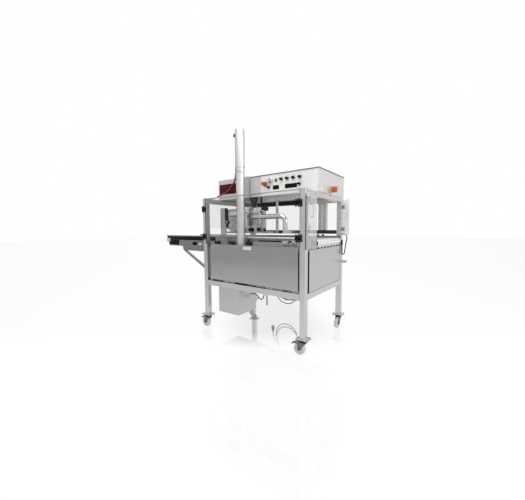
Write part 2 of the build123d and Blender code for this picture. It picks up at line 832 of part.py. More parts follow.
# Doors: each is drawn from its hinge axis, along the door and outward from it
panel_outer = -door_outer
panel_inner = panel_outer - acrylic


def clear_door(label, axis_xy, along_deg, outward, width, foot, top, hinge_zs, hinge_height,
               handle_along, handle_z, handle_height, standoff):
    """A clear panel with two hinge leaves and a bar handle; outward is 1 or -1 across the panel."""
    turn = math.radians(along_deg)
    frame = Plane(origin=(*axis_xy, 0), x_dir=(math.cos(turn), math.sin(turn), 0))

    def slab(u0, u1, n0, n1, z0, z1):
        block(u0, u1, min(outward * n0, outward * n1), max(outward * n0, outward * n1), z0, z1)

    with BuildPart(frame) as panel:
        slab(door_edge_gap, width, panel_inner, panel_outer, foot, top)
    pieces = [panel.part]
    leaf_start = hinge_knuckle_radius + hinge_knuckle_gap
    knuckle = hinge_height / 3
    for hinge_z in hinge_zs:
        with BuildPart(frame) as leaf:
            slab(leaf_start, leaf_start + hinge_leaf, panel_outer, hinge_leaf_outer,
                 hinge_z - hinge_height / 2, hinge_z + hinge_height / 2)
            slab(0, leaf_start, panel_outer, hinge_leaf_outer, hinge_z - knuckle / 2, hinge_z + knuckle / 2)
            round_z(0, 0, hinge_z - knuckle / 2, hinge_z + knuckle / 2, hinge_knuckle_radius)
            round_z(0, 0, hinge_z - knuckle, hinge_z + knuckle, hinge_pin_radius + shaft_fit, Mode.SUBTRACT)
        pieces.append(leaf.part)
    half_bar = handle_bar / 2
    bar_start = panel_outer + standoff - handle_bar
    for leg_z in (handle_z, handle_z + handle_height - handle_bar):
        with BuildPart(frame) as leg:
            slab(handle_along - half_bar, handle_along + half_bar, panel_outer, bar_start,
                 leg_z, leg_z + handle_bar)
        pieces.append(leg.part)
    with BuildPart(frame) as grip:
        slab(handle_along - half_bar, handle_along + half_bar, bar_start, panel_outer + standoff,
             handle_z, handle_z + handle_height)
    pieces.append(grip.part)
    save_group(pieces, label)


def hinge_mounts(axis_xy, along_deg, outward, hinge_zs, hinge_height):
    """The fixed leaves of one door's hinges, with their knuckles and pins."""
    turn = math.radians(along_deg)
    frame = Plane(origin=(*axis_xy, 0), x_dir=(math.cos(turn), math.sin(turn), 0))
    start = hinge_knuckle_radius + hinge_knuckle_gap
    outer_y = sorted((-outward * hinge_axis_offset, outward * hinge_leaf_outer))
    knuckle = hinge_height / 3
    leaves = []
    for hinge_z in hinge_zs:
        with BuildPart(frame) as leaf:
            block(-start - hinge_fixed_leaf, -start, *outer_y,
                  hinge_z - hinge_height / 2, hinge_z + hinge_height / 2)
            for end in (-1, 1):
                near = hinge_z + end * (knuckle / 2 + running_gap)
                far = hinge_z + end * hinge_height / 2
                low, high = min(near, far), max(near, far)
                round_z(0, 0, low, high, hinge_knuckle_radius)
                block(-start, 0, -hinge_leaf_outer, hinge_leaf_outer, low, high)
            round_z(0, 0, hinge_z - hinge_height / 2, hinge_z + hinge_height / 2, hinge_pin_radius)
        leaves.append(leaf.part)
    return leaves


front_door_top = frame_height - front_door_top_gap
front_hinge_zs = (front_door_foot + front_hinge_from_foot, front_door_top - front_hinge_from_top)
front_axis_y = front - hinge_axis_offset
left_axis_x = left + front_left_hinge_x
right_axis_x = right - front_right_hinge_inset
meet_x = (left_axis_x + right_axis_x) / 2
front_door_width = (right_axis_x - left_axis_x - front_door_meet_gap) / 2
front_handle_z = front_door_foot + front_handle_from_foot
front_handle_along = front_door_width - front_handle_from_meet
end_axis_x = right + hinge_axis_offset
near_axis = (end_axis_x, front + end_hinge_inset)
far_axis = (end_axis_x, back - end_hinge_inset)
near_door_top = frame_height - end_door_top_gap
far_door_top = frame_height - far_door_top_gap
near_hinge_zs = (near_door_foot + near_hinge_foot, near_door_top - near_hinge_drop)
far_hinge_zs = (far_door_foot + end_hinge_from_end, far_door_top - end_hinge_from_end)
doors = [
    ("front_door_left", (left_axis_x, front_axis_y), 0.0, -1, front_door_width, front_door_foot,
     front_door_top, front_hinge_zs, front_hinge_height, front_handle_along, front_handle_z,
     front_handle_height, handle_standoff),
    ("front_door_right", (right_axis_x, front_axis_y), 180.0, 1, front_door_width, front_door_foot,
     front_door_top, front_hinge_zs, front_hinge_height, front_handle_along, front_handle_z,
     front_handle_height, handle_standoff),
    ("end_door_near", near_axis, 90.0, -1, end_door_width, near_door_foot, near_door_top, near_hinge_zs,
     end_hinge_height, end_handle_from_hinge, near_door_top - end_handle_from_top - end_handle_height,
     end_handle_height, end_handle_standoff),
    ("end_door_far", far_axis, far_door_rest_deg - 90.0, 1, end_door_width, far_door_foot, far_door_top,
     far_hinge_zs, end_hinge_height, end_handle_from_hinge,
     far_door_top - far_handle_from_top - end_handle_height, end_handle_height, end_handle_standoff),
]
fixed_leaves = []
for door in doors:
    clear_door(*door)
    label, axis_xy, along_deg, outward = door[:4]
    hinge_zs, hinge_height = door[7:9]
    closed_deg = -90.0 if label == "end_door_far" else along_deg
    fixed_leaves += hinge_mounts(axis_xy, closed_deg, outward, hinge_zs, hinge_height)
save_group(fixed_leaves, "door_hinge_mounts")

# Fixed clear panels between the frame's tubes
with BuildPart() as guard_panels:
    block(left + guard_setback, left + guard_setback + acrylic, inner_front, inner_back,
          left_guard_foot, frame_height - tube)
    block(inner_left, inner_right, back - acrylic, back, mid_rail_z, frame_height - tube)
save(guard_panels.part, "guard_panels")

# Conveyor
plate_near_y = front + conveyor_setback
plate_in_y = plate_near_y + side_plate
plate_far_y = plate_in_y + conveyor_inner_width
plate_out_y = plate_far_y + side_plate
belt_y0 = plate_in_y + belt_side_gap
belt_y1 = plate_far_y - belt_side_gap
wire_z = belt_height - wire_belt_thick - wire_roller_radius
wire_nose_x = left - infeed_reach + infeed_slant
wire_drive_x = right - wire_drive_from_right
takeoff_z = belt_height - takeoff_drop - takeoff_thick - takeoff_roller_radius
takeoff_nose_x = right + discharge_reach - takeoff_thick - takeoff_roller_radius
takeoff_inner_x = right - takeoff_inner_from_right
rod_x = right - rod_from_right
rod_z = belt_height - rod_drop
rollers = {
    "infeed_nose_roller": (wire_nose_x, wire_z, wire_roller_radius),
    "wire_belt_drive_roller": (wire_drive_x, wire_z, wire_roller_radius),
    "detailing_rod": (rod_x, rod_z, rod_radius),
    "takeoff_drive_roller": (takeoff_inner_x, takeoff_z, takeoff_roller_radius),
    "takeoff_nose_roller": (takeoff_nose_x, takeoff_z, takeoff_roller_radius),
}
shaft_radii = {name: min(roller_shaft_radius, rollers[name][2]) for name in rollers}
bearing_names = [name for name in rollers if name != "detailing_rod"]
tie_bar_z = belt_height - tie_bar_drop
tie_bars = [left + x for x in tie_bar_xs]
infeed_knob_x = left - infeed_knob_back
infeed_knob_z = belt_height - infeed_knob_drop


def side_plate_solid(y):
    """One side plate, with the slanted infeed end, its deeper bracket and the shaft holes."""
    infeed_x = left - infeed_reach
    bottom = belt_height - infeed_drop
    deep = belt_height - bracket_drop
    with BuildPart() as plate:
        with BuildSketch(side_plane(y + side_plate)):
            with BuildLine():
                Polyline((infeed_x, plates_top), (right + side_plate_end, plates_top),
                         (right + side_plate_end, plates_bottom), (left - bracket_near, plates_bottom),
                         (left - bracket_near, deep), (left - bracket_far + bracket_chamfer, deep),
                         (left - bracket_far, bottom), (infeed_x + infeed_slant, bottom), close=True)
            make_face()
        extrude(amount=side_plate)
        for name, (roller_x, roller_z, _) in rollers.items():
            round_y(roller_x, y - side_plate, y + 2 * side_plate, roller_z,
                    shaft_radii[name] + shaft_fit, Mode.SUBTRACT)
        round_y(infeed_knob_x, y - side_plate, y + 2 * side_plate, infeed_knob_z,
                control_stem_radius + shaft_fit, Mode.SUBTRACT)
    return plate.part


side_pieces = [side_plate_solid(plate_near_y), side_plate_solid(plate_far_y)]
for tie_bar_x in tie_bars:
    with BuildPart() as tie_bar:
        round_y(tie_bar_x, plate_in_y, plate_far_y, tie_bar_z, tie_bar_radius)
    side_pieces.append(tie_bar.part)
with BuildPart() as guard_tube:
    round_x(left + guard_tube_left, left + guard_tube_left + guard_tube_length,
            plate_near_y - guard_tube_radius, belt_height + guard_tube_drop, guard_tube_radius)
side_pieces.append(guard_tube.part)
strut_top_z = belt_height - bracket_drop
for strut_y in (plate_near_y + side_plate / 2, plate_far_y + side_plate / 2):
    with BuildPart() as strut:
        with BuildSketch(side_plane(strut_y + strut_width / 2)):
            with BuildLine():
                Polyline((left - strut_top_far, strut_top_z), (left - strut_top_far + strut_top_run, strut_top_z),
                         (left, rail_top - strut_foot_drop),
                         (left, rail_top - strut_foot_drop - strut_foot_run), close=True)
            make_face()
        extrude(amount=strut_width)
    side_pieces.append(strut.part)
save_group(side_pieces, "conveyor_sides")

with BuildPart() as shaft_bearings:
    seats = [(tie_bar_x, tie_bar_z, bearing_length) for tie_bar_x in tie_bars]
    for name in bearing_names:
        length = takeoff_bearing_length if name.startswith("takeoff") else bearing_length
        seats.append((rollers[name][0], rollers[name][1], length))
    for seat_x, seat_z, length in seats:
        for start in (plate_near_y - bearing_thick, plate_out_y):
            block(seat_x - length / 2, seat_x + length / 2, start, start + bearing_thick,
                  seat_z - bearing_height / 2, seat_z + bearing_height / 2)
    for name in bearing_names:
        round_y(rollers[name][0], plate_near_y - bearing_thick, plate_out_y + bearing_thick,
                rollers[name][1], roller_shaft_radius + shaft_fit, Mode.SUBTRACT)
save(shaft_bearings.part, "shaft_bearings")


def belt_band(label, x0, x1, z, radius, thick, gaps_long=0, gaps_wide=0):
    """A closed band round two rollers, with rows of gaps where it is woven from wire."""
    mid_x = (x0 + x1) / 2
    with BuildPart() as band:
        with BuildSketch(side_plane(belt_y1)):
            with Locations((mid_x, z)):
                SlotCenterToCenter(x1 - x0, 2 * (radius + thick + running_gap))
                SlotCenterToCenter(x1 - x0, 2 * (radius + running_gap), mode=Mode.SUBTRACT)
        extrude(amount=belt_y1 - belt_y0)
        if gaps_long:
            pitch_x = (x1 - x0) / gaps_long
            pitch_y = (belt_y1 - belt_y0) / gaps_wide
            with Locations((mid_x, (belt_y0 + belt_y1) / 2, z)):
                with GridLocations(pitch_x, pitch_y, gaps_long, gaps_wide):
                    Box(pitch_x * wire_gap_share, pitch_y - pitch_x * (1 - wire_gap_share),
                        4 * radius, mode=Mode.SUBTRACT)
    save(band.part, label)


belt_band("wire_belt", wire_nose_x, wire_drive_x, wire_z, wire_roller_radius, wire_belt_thick - running_gap,
          wire_gaps_long, wire_gaps_wide)
belt_band("takeoff_belt", takeoff_inner_x, takeoff_nose_x, takeoff_z, takeoff_roller_radius,
          takeoff_thick - running_gap)
for name, (roller_x, roller_z, radius) in rollers.items():
    with BuildPart() as roller:
        near_reach = bearing_thick if name in bearing_names else 0
        far_reach = bearing_thick if name in bearing_names else rod_motor_grip - running_gap
        round_y(roller_x, belt_y0, belt_y1, roller_z, radius)
        round_y(roller_x, plate_near_y - near_reach, plate_out_y + far_reach, roller_z, shaft_radii[name])
    save(roller.part, name)
with BuildPart() as rod_motor:
    round_y(rod_x, plate_out_y, plate_out_y + rod_motor_length, rod_z, rod_motor_radius)
    round_y(rod_x, plate_out_y - side_plate, plate_out_y + rod_motor_grip, rod_z,
            rod_radius + shaft_fit, Mode.SUBTRACT)

with BuildPart() as infeed_knob:
    knob_face = plate_near_y - running_gap
    round_y(infeed_knob_x, knob_face - infeed_knob_length, knob_face, infeed_knob_z, infeed_knob_radius)
    fillet(infeed_knob.edges().group_by(Axis.Y)[0], knob_neck)
    round_y(infeed_knob_x, knob_face, plate_in_y, infeed_knob_z, control_stem_radius)
save(infeed_knob.part, "infeed_knob")

# Pump column, with its outlet pipe into the hopper
pump_foot = rail_top + tank_wall
hopper_y0 = front + hopper_setback
hopper_y1 = hopper_y0 + hopper_depth
spout_x = column_x - spout_reach
spout_points = [(column_x, column_y, spout_height), (spout_x, column_y, spout_height),
                (spout_x, hopper_y0 + spout_inside, spout_height)]
pump_inner = pump_radius - pump_wall
with BuildPart() as pump_tube:
    with BuildLine() as spout_path:
        FilletPolyline(*spout_points, radius=spout_bend)
    with BuildSketch(Plane(origin=spout_path.line @ 0, z_dir=spout_path.line % 0)):
        Circle(spout_radius)
    sweep()
    round_z(column_x, column_y, pump_foot, cover_z, pump_radius)
    with BuildSketch(Plane(origin=spout_path.line @ 0, z_dir=spout_path.line % 0)):
        Circle(spout_radius - spout_wall)
    sweep(path=spout_path.line, mode=Mode.SUBTRACT)
    round_z(column_x, column_y, pump_foot, cover_z, pump_inner, Mode.SUBTRACT)
    for slot_deg in (0, 90):
        with Locations(Location((column_x, column_y, pump_foot + pump_slot_height / 2), (0, 0, slot_deg))):
            Box(3 * pump_radius, pump_slot_width, pump_slot_height, mode=Mode.SUBTRACT)
save(pump_tube.part, "pump_tube")

with BuildPart() as pump_cover:
    round_z(column_x, column_y, cover_z, cover_top, pump_cover_radius)
    terminal_top = cover_top - terminal_drop
    block(column_x - pump_cover_radius - terminal_length, column_x, column_y - terminal_width / 2,
          column_y + terminal_width / 2, terminal_top - terminal_height, terminal_top)
    round_z(column_x, column_y, cover_floor, cover_top - pump_wall, pump_cover_radius - pump_wall, Mode.SUBTRACT)
    round_z(column_x, column_y, cover_z - pump_wall, cover_floor + pump_wall,
            auger_stem_radius + shaft_fit, Mode.SUBTRACT)
save(pump_cover.part, "pump_cover")

auger_z = pump_foot + auger_foot_gap
auger_top = cover_z - auger_foot_gap
auger_radius = pump_inner - running_gap
with BuildPart() as pump_auger:
    flight_root = auger_core_radius - auger_blade / 2
    with BuildLine() as flight_path:
        Helix(auger_pitch, auger_top - auger_z - 2 * auger_blade, (flight_root + auger_radius) / 2,
              center=(column_x, column_y, auger_z + auger_blade))
    with BuildSketch(Plane(origin=flight_path.line @ 0, x_dir=(1, 0, 0), z_dir=flight_path.line % 0)):
        Rectangle(auger_radius - flight_root, auger_blade)
    sweep(is_frenet=True)
    round_z(column_x, column_y, auger_z, auger_top, auger_core_radius)
    round_z(column_x, column_y, auger_top, cover_floor + pump_motor_length / 4 - running_gap, auger_stem_radius)
save(pump_auger.part, "pump_auger")

# Curtain hopper, a trough across the belt with a slit along its foot
hopper_outline = [
    (left + hopper_left, hopper_top), (left + hopper_left, hopper_left_shoulder),
    (left + hopper_slit_left, hopper_slit_z), (left + hopper_slit_right, hopper_slit_z),
    (left + hopper_right, hopper_right_shoulder), (left + hopper_right, hopper_top),
]
hopper_inside = [
    (left + hopper_left + hopper_wall, hopper_top + hopper_wall),
    (left + hopper_left + hopper_wall, hopper_left_shoulder + hopper_wall),
    (left + hopper_slit_left + 2 * hopper_wall, hopper_slit_z),
    (left + hopper_slit_left + 2 * hopper_wall, hopper_slit_z - hopper_wall),
    (left + hopper_slit_right - 2 * hopper_wall, hopper_slit_z - hopper_wall),
    (left + hopper_slit_right - 2 * hopper_wall, hopper_slit_z),
    (left + hopper_right - hopper_wall, hopper_right_shoulder + hopper_wall),
    (left + hopper_right - hopper_wall, hopper_top + hopper_wall),
]
with BuildPart() as curtain_hopper:
    with BuildSketch(side_plane(hopper_y1)):
        with BuildLine():
            Polyline(*hopper_outline, close=True)
        make_face()
    extrude(amount=hopper_depth)
    with BuildSketch(side_plane(hopper_y1 - hopper_wall)):
        with BuildLine():
            Polyline(*hopper_inside, close=True)
        make_face()
    extrude(amount=hopper_depth - 2 * hopper_wall, mode=Mode.SUBTRACT)
    round_y(spout_x, hopper_y0 - hopper_wall, hopper_y0 + 2 * hopper_wall, spout_height,
            spout_radius + shaft_fit, Mode.SUBTRACT)
save(curtain_hopper.part, "curtain_hopper")

# Supports of the coating head
bar_y0 = hopper_y0 - bar_depth
rod_y = bar_y0 + hanger_rod_from_bar
bar_end = left + hanger_rod_x - hanger_rod_radius
head_pieces = []
for foot_y0, foot_y1, wall_y0 in ((plate_near_y, hopper_y0, hopper_y0 - upright_thick),
                                  (hopper_y1, plate_out_y, hopper_y1)):
    with BuildPart() as upright:
        block(left + upright_left, left + upright_right, foot_y0, foot_y1,
              plates_top, plates_top + upright_thick)
        block(left + upright_left, left + upright_right, wall_y0, wall_y0 + upright_thick,
              plates_top, upright_top)
    head_pieces.append(upright.part)
with BuildPart() as head_bar:
    block(left + upright_right, bar_end, bar_y0, hopper_y0, bar_z, bar_z + bar_height)
    block(bar_end - bar_depth, bar_end, bar_y0, rod_y + bar_depth / 2, bar_z, bar_z + bar_height)
head_pieces.append(head_bar.part)
with BuildPart() as hopper_knob:
    knob_back = hopper_y0 - upright_thick
    round_y(left + hopper_knob_x, knob_back - hopper_knob_length, knob_back,
            plates_top + hopper_knob_rise, hopper_knob_radius)
    fillet(hopper_knob.edges().group_by(Axis.Y)[0], knob_neck)
head_pieces.append(hopper_knob.part)
with BuildPart() as hanger_rod:
    round_z(left + hanger_rod_x, rod_y, hanger_rod_z, frame_height, hanger_rod_radius)
head_pieces.append(hanger_rod.part)
duct_y = bar_y0 + duct_from_bar
with BuildPart() as duct_clamp:
    block(left + hanger_rod_x - clamp_width / 2, left + hanger_rod_x + clamp_width / 2, duct_y, rod_y,
          duct_z - clamp_height / 2, duct_z + clamp_height / 2)
    round_z(left + hanger_rod_x, rod_y, duct_z - clamp_height, duct_z + clamp_height,
            hanger_rod_radius, Mode.SUBTRACT)
    round_x(left + hanger_rod_x - clamp_width, left + hanger_rod_x + clamp_width, duct_y, duct_z,
            duct_radius, Mode.SUBTRACT)
head_pieces.append(duct_clamp.part)

# Blower, air pipe and air nozzle
blower_x0 = left + blower_left
blower_x1 = blower_x0 + blower_length
blower_z0 = bar_z + bar_height
blower_z1 = blower_z0 + blower_height
knob_seats = [(left + x, blower_z0 + clamp_knob_rise) for x in clamp_knob_xs]
blower_y1 = bar_y0 + blower_depth
with BuildPart() as blower:
    block(blower_x0, blower_x1, bar_y0, blower_y1, blower_z0, blower_z1)
    fillet(blower.edges().filter_by(Axis.Y).group_by(Axis.Z)[-1], blower_round)
    block(blower_x0 + sheet, blower_x1 - sheet, bar_y0 + sheet, blower_y1 - sheet,
          blower_z0, blower_z1 - blower_round, Mode.SUBTRACT)
    round_x(left + duct_start, blower_x1 + sheet, duct_y, duct_z, duct_radius, Mode.SUBTRACT)
    for seat_x, seat_z in knob_seats:
        round_y(seat_x, bar_y0 - sheet, bar_y0 + 2 * sheet, seat_z,
                control_stem_radius + shaft_fit, Mode.SUBTRACT)
save(blower.part, "blower")
with BuildPart() as fan_motor:
    round_y(left + fan_motor_x, blower_y1, blower_y1 + fan_motor_length, blower_z0 + fan_motor_rise,
            fan_motor_radius)
save_group([belt_motor.part, pump_motor.part, rod_motor.part, fan_motor.part], "drive_motors")
elbow_x = left + duct_elbow_x
knife_z = bar_z
with BuildPart() as air_duct:
    with BuildLine() as duct_path:
        FilletPolyline((left + duct_start, duct_y, duct_z), (elbow_x, duct_y, duct_z),
                       (elbow_x, duct_y, knife_z + knife_height), radius=duct_bend)
    with BuildSketch(Plane(origin=duct_path.line @ 0, z_dir=duct_path.line % 0)):
        Circle(duct_radius)
        Circle(duct_radius - duct_wall, mode=Mode.SUBTRACT)
    sweep()
    round_x(left + duct_start, left + duct_start + duct_wall, duct_y, duct_z, duct_radius)
    block(left + duct_start + duct_window, blower_x1 - duct_window, duct_y, duct_y + duct_radius + duct_wall,
          duct_z - duct_window / 2, duct_z + duct_window / 2, Mode.SUBTRACT)
    knife_y = (belt_y0 + belt_y1 - knife_length) / 2
    block(elbow_x - knife_width / 2, elbow_x + knife_width / 2, knife_y, knife_y + knife_length,
          knife_z, knife_z + knife_height)

# Air plenum on the blower, with the bellows and the stay from the top plate
plenum_top = blower_z1 + plenum_height
plenum_mid_y = bar_y0 + plenum_depth / 2
with BuildPart() as air_plenum:
    block(left + plenum_left, left + plenum_right, bar_y0, bar_y0 + plenum_depth, blower_z1, plenum_top)
    fillet(air_plenum.edges().filter_by(Axis.Y), plenum_round)
    block(left + plenum_left + plenum_round, left + plenum_right - plenum_round, bar_y0 + sheet,
          bar_y0 + plenum_depth - sheet, blower_z1 + sheet, plenum_top - sheet, Mode.SUBTRACT)
    round_z(left + bellows_x, plenum_mid_y, plenum_top - 2 * sheet, plenum_top + sheet,
            bellows_foot_radius - sheet, Mode.SUBTRACT)
with BuildPart() as air_bellows:
    bellows_height = frame_height - plenum_top
    with Locations((left + bellows_x, plenum_mid_y, plenum_top + bellows_height / 2)):
        Cone(bellows_foot_radius, bellows_top_radius, bellows_height)
        Cone(bellows_foot_radius - sheet, bellows_top_radius - sheet, bellows_height, mode=Mode.SUBTRACT)
save_group([air_duct.part, air_plenum.part, air_bellows.part], "air_duct")
with BuildPart() as plenum_stay:
    round_z(left + plenum_stay_x, plenum_mid_y, plenum_top, frame_height, plenum_stay_radius)
head_pieces.append(plenum_stay.part)
save_group(head_pieces, "head_supports")
for number, (seat_x, seat_z) in enumerate(knob_seats, 1):
    with BuildPart() as clamp_knob:
        knob_face = bar_y0 - clamp_knob_neck
        round_y(seat_x, knob_face - clamp_knob_length, knob_face, seat_z, clamp_knob_radius)
        fillet(clamp_knob.edges().group_by(Axis.Y)[0], knob_neck)
        round_y(seat_x, knob_face, bar_y0 + clamp_knob_length - running_gap, seat_z, control_stem_radius)
    save(clamp_knob.part, f"clamp_knob_{number}")


# Cords and hoses
def bend_radii(points):
    """The largest even bend at each corner of a route, from the runs beside it."""
    radii = []
    for before, corner, after in zip(points, points[1:], points[2:]):
        run_in = Vector(*corner) - Vector(*before)
        run_out = Vector(*after) - Vector(*corner)
        half_turn = math.radians(run_in.get_angle(run_out)) / 2
        radii.append(0.45 * min(run_in.length, run_out.length) / math.tan(half_turn))
    return radii


def round_tube(name, points, radius, radii=None):
    """A round tube along a route of straight runs and tangent arcs."""
    radii = radii or bend_radii(points)
    with BuildPart() as run:
        with BuildLine() as path:
            FilletPolyline(*points, radius=radii)
        with BuildSketch(Plane(origin=path.line @ 0, z_dir=path.line % 0)):
            Circle(radius)
        sweep()
    route = path.wire()
    length = route.length
    share = run.part.volume / (math.pi * radius ** 2 * length)
    print(f"{name}: length {length:.0f}, volume share {share:.4f}, least bend {min(radii):.0f}")
    return run.part, route


cable_x = column_x - pump_cover_radius - pump_cable_radius - running_gap
terminal_foot = cover_top - terminal_drop - terminal_height
sign_entry_z = box_z + 22
cables = []
for cable_name, cable_y in (("red pump cable", column_y - 6), ("black pump cable", column_y + 6)):
    pump_cable_points = [
        (cable_x, cable_y, terminal_foot), (cable_x, cable_y, terminal_foot - 110),
        (cable_x - 1, cable_y, cover_z + 40), (cable_x - 5, cable_y, cover_z - 60),
        (left + 325, cable_y, sign_entry_z + 126), (left + 264, cable_y, sign_entry_z + 64),
        (left + 207, cable_y, sign_entry_z + 30), (left + 121, cable_y + 4, sign_entry_z + 11),
        (left + 45, cable_y + 30, sign_entry_z + 2), (left + 36, panel_y - 34, sign_entry_z),
        (left + 36, panel_y, sign_entry_z),
    ]
    cables.append(round_tube(cable_name, pump_cable_points, pump_cable_radius)[0])
loop_y = drive_y1 - 40
loop_points = [
    (drive_x1, loop_y, drive_top - 112), (drive_x1 + 42, loop_y, drive_top - 112),
    (drive_x1 + 86, loop_y, drive_top - 170), (drive_x1 + 130, loop_y, drive_top - 140),
    (drive_x1 + 142, loop_y, drive_top - 50), (drive_x1 + 142, loop_y, rail_top),
]
cables.append(round_tube("black loop cable", loop_points, loop_cable_radius)[0])
with BuildPart() as drain_tube:
    round_z(drive_x1 + 170, loop_y, drive_z + 74, rail_top, drain_tube_radius)
cables.append(drain_tube.part)
rail_cable_y = front + tube / 2
rail_cable_z = lower_rail_z - pump_cable_radius
rail_cable_points = [
    (right - 249, rail_cable_y, rail_cable_z), (right - 205, rail_cable_y, rail_cable_z - 8),
    (right - 150, rail_cable_y, rail_cable_z - 12), (right - 105, rail_cable_y, rail_cable_z - 4),
    (right - 70, rail_cable_y, rail_cable_z),
]
cables.append(round_tube("red rail cable", rail_cable_points, pump_cable_radius)[0])
switch_x = right + switch_thick / 2
switch_y = back - switch_setback - switch_width / 2
switch_points = [
    (switch_x, switch_y, switch_z), (switch_x, switch_y, switch_z - 46),
    (switch_x + 3, switch_y + 4, switch_z - 98), (switch_x + 9, switch_y + 50, switch_z - 98),
    (switch_x + 15, switch_y + 54, switch_z - 36), (switch_x + 22, switch_y + 52, switch_z + 20),
    (switch_x + 40, switch_y + 40, switch_z + 80), (switch_x + 24, switch_y + 26, switch_z + 110),
    (right, switch_y + 26, switch_z + 110),
]
cables.append(round_tube("door switch cable", switch_points, loop_cable_radius)[0])
save_group(cables, "hoses_and_cables")

# Mains cord: from the gland over the hook, in hanging loops, then down to the plug
hook_mid_x = left + hook_x
top_radius = hook_radius + mains_radius + running_gap
leans = [math.asin((loop_bottom_radius - top_radius) / drop) for drop in loop_drops]
lean = leans[-1]


def arc_corners(centre_z, radius, start, turn, count):
    """Corners of a route that is tangent to a circle, turning anticlockwise seen from the front."""
    step = turn / count
    reach = radius / math.cos(step / 2)
    angles = [start + step * (number + 0.5) for number in range(count)]
    return [(hook_mid_x + reach * math.cos(angle), centre_z + reach * math.sin(angle)) for angle in angles]


top_count = 2
bottom_count = 3
loop_corners = []
for drop, lean_in, lean_out in zip(loop_drops, leans[:1] + leans, leans):
    loop_corners += arc_corners(hook_z, top_radius, lean_in, math.pi - lean_in - lean_out, top_count)
    loop_corners += arc_corners(hook_z - drop, loop_bottom_radius, math.pi - lean_out,
                                math.pi + 2 * lean_out, bottom_count)
loop_corners += arc_corners(hook_z, top_radius, lean, math.pi - 2 * lean, top_count)
turn_count = top_count + bottom_count
mains_y = back_face + loop_first
lead_in = [(gland_tip_x, mains_y, gland_z), (gland_tip_x - 32, mains_y, gland_z)]
loop_points = []
for number, (corner_x, corner_z) in enumerate(loop_corners):
    loop_points.append((corner_x, mains_y + loop_step * number / turn_count, corner_z))
last_y = loop_points[-1][1]
side_x = hook_mid_x - (top_radius * math.cos(lean) + 75 * math.sin(lean))
side_z = hook_z + top_radius * math.sin(lean) - 75 * math.cos(lean)
loop_end = (side_x, last_y + 2, side_z)
coil_points = lead_in + loop_points[1:] + [loop_end]
coil_radii = bend_radii(coil_points)
tight = 0.98
for number in range(len(loop_points) - 1):
    is_top = (number + 1) % turn_count < top_count
    coil_radii[number + 1] = tight * (top_radius if is_top else loop_bottom_radius)
cord_coil, coil_path = round_tube("mains cord coil", coil_points, mains_radius, coil_radii)
save(cord_coil, "mains_cord_coil")


def least_self_gap(path, radius):
    """The least distance between two stretches of a tube, measured between points on its route."""
    count = int(path.length / radius)
    samples = [path @ (number / count) for number in range(count + 1)]
    apart = 8
    least = min((samples[i] - samples[j]).length
                for i in range(len(samples)) for j in range(i + apart, len(samples)))
    return least - 2 * radius


print(f"mains cord coil: least gap to itself {least_self_gap(coil_path, mains_radius):.1f}")

tail_start = coil_path @ 1
tail_points = [
    tuple(tail_start), tuple(tail_start + (coil_path % 1) * 60),
    (left + 313, last_y + 6, hook_z - 160), (left + 286, last_y + 7, hook_z - 208),
    (left + 270, last_y + 7, hook_z - 246), (left + 270, last_y + 7, hook_z - 277),
]
cord_tail, tail_path = round_tube("mains cord tail", tail_points, mains_radius)
save(cord_tail, "mains_cord_tail")
plug_x, plug_y, plug_z = tail_points[-1]
with BuildPart() as mains_plug:
    with BuildSketch(Plane.XY.offset(plug_z)):
        with Locations((plug_x, plug_y)):
            Circle(plug_neck_radius)
    with BuildSketch(Plane.XY.offset(plug_z - plug_neck_length)):
        with Locations((plug_x, plug_y)):
            Circle(plug_radius)
    loft()
    round_z(plug_x, plug_y, plug_z - plug_neck_length - plug_length, plug_z - plug_neck_length, plug_radius)
    for pin_side in (-0.5, 0.5):
        round_z(plug_x + pin_side * plug_pin_spacing, plug_y,
                plug_z - plug_neck_length - plug_length - plug_pin_length,
                plug_z - plug_neck_length - plug_length, plug_pin_radius)
save(mains_plug.part, "mains_plug")
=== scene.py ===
"""Looks of the chocolate enrobing machine: finishes, small pieces, cords, light and camera."""
import math

import bmesh
import bpy
import numpy as np
from mathutils import Matrix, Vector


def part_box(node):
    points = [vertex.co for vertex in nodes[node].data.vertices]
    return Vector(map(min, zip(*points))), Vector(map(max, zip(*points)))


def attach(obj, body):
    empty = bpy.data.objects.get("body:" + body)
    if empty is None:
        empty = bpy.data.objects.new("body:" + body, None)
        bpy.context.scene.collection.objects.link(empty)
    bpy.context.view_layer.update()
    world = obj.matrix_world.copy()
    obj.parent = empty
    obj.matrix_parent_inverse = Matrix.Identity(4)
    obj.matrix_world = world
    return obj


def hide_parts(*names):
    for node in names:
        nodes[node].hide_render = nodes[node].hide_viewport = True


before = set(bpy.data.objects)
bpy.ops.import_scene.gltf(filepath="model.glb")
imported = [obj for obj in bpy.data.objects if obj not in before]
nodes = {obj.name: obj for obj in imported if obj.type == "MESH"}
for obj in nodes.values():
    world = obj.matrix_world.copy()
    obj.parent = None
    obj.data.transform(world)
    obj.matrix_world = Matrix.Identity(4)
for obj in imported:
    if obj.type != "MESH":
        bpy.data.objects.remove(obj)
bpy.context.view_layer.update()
X, Y, Z = np.eye(3)

# Faces of the machine's frame, in millimetres, read from the top plate
plate_low, plate_high = (np.array(corner) * 1000 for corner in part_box("ceiling_plate"))
left = plate_low[0]
right = plate_high[0]
back = plate_high[1]
front = plate_low[1] - 225
frame_top = plate_low[2]
box_foot = plate_high[2]
panel_y = front + 234
half_tube = 25

# Levels of the belt, and the outer faces of the conveyor's side plates
belt_top = 940.0
plates_top = belt_top + 15
side_plate = 6
belt_room = 544
near_y = front + 205
far_y = near_y + side_plate + belt_room + side_plate


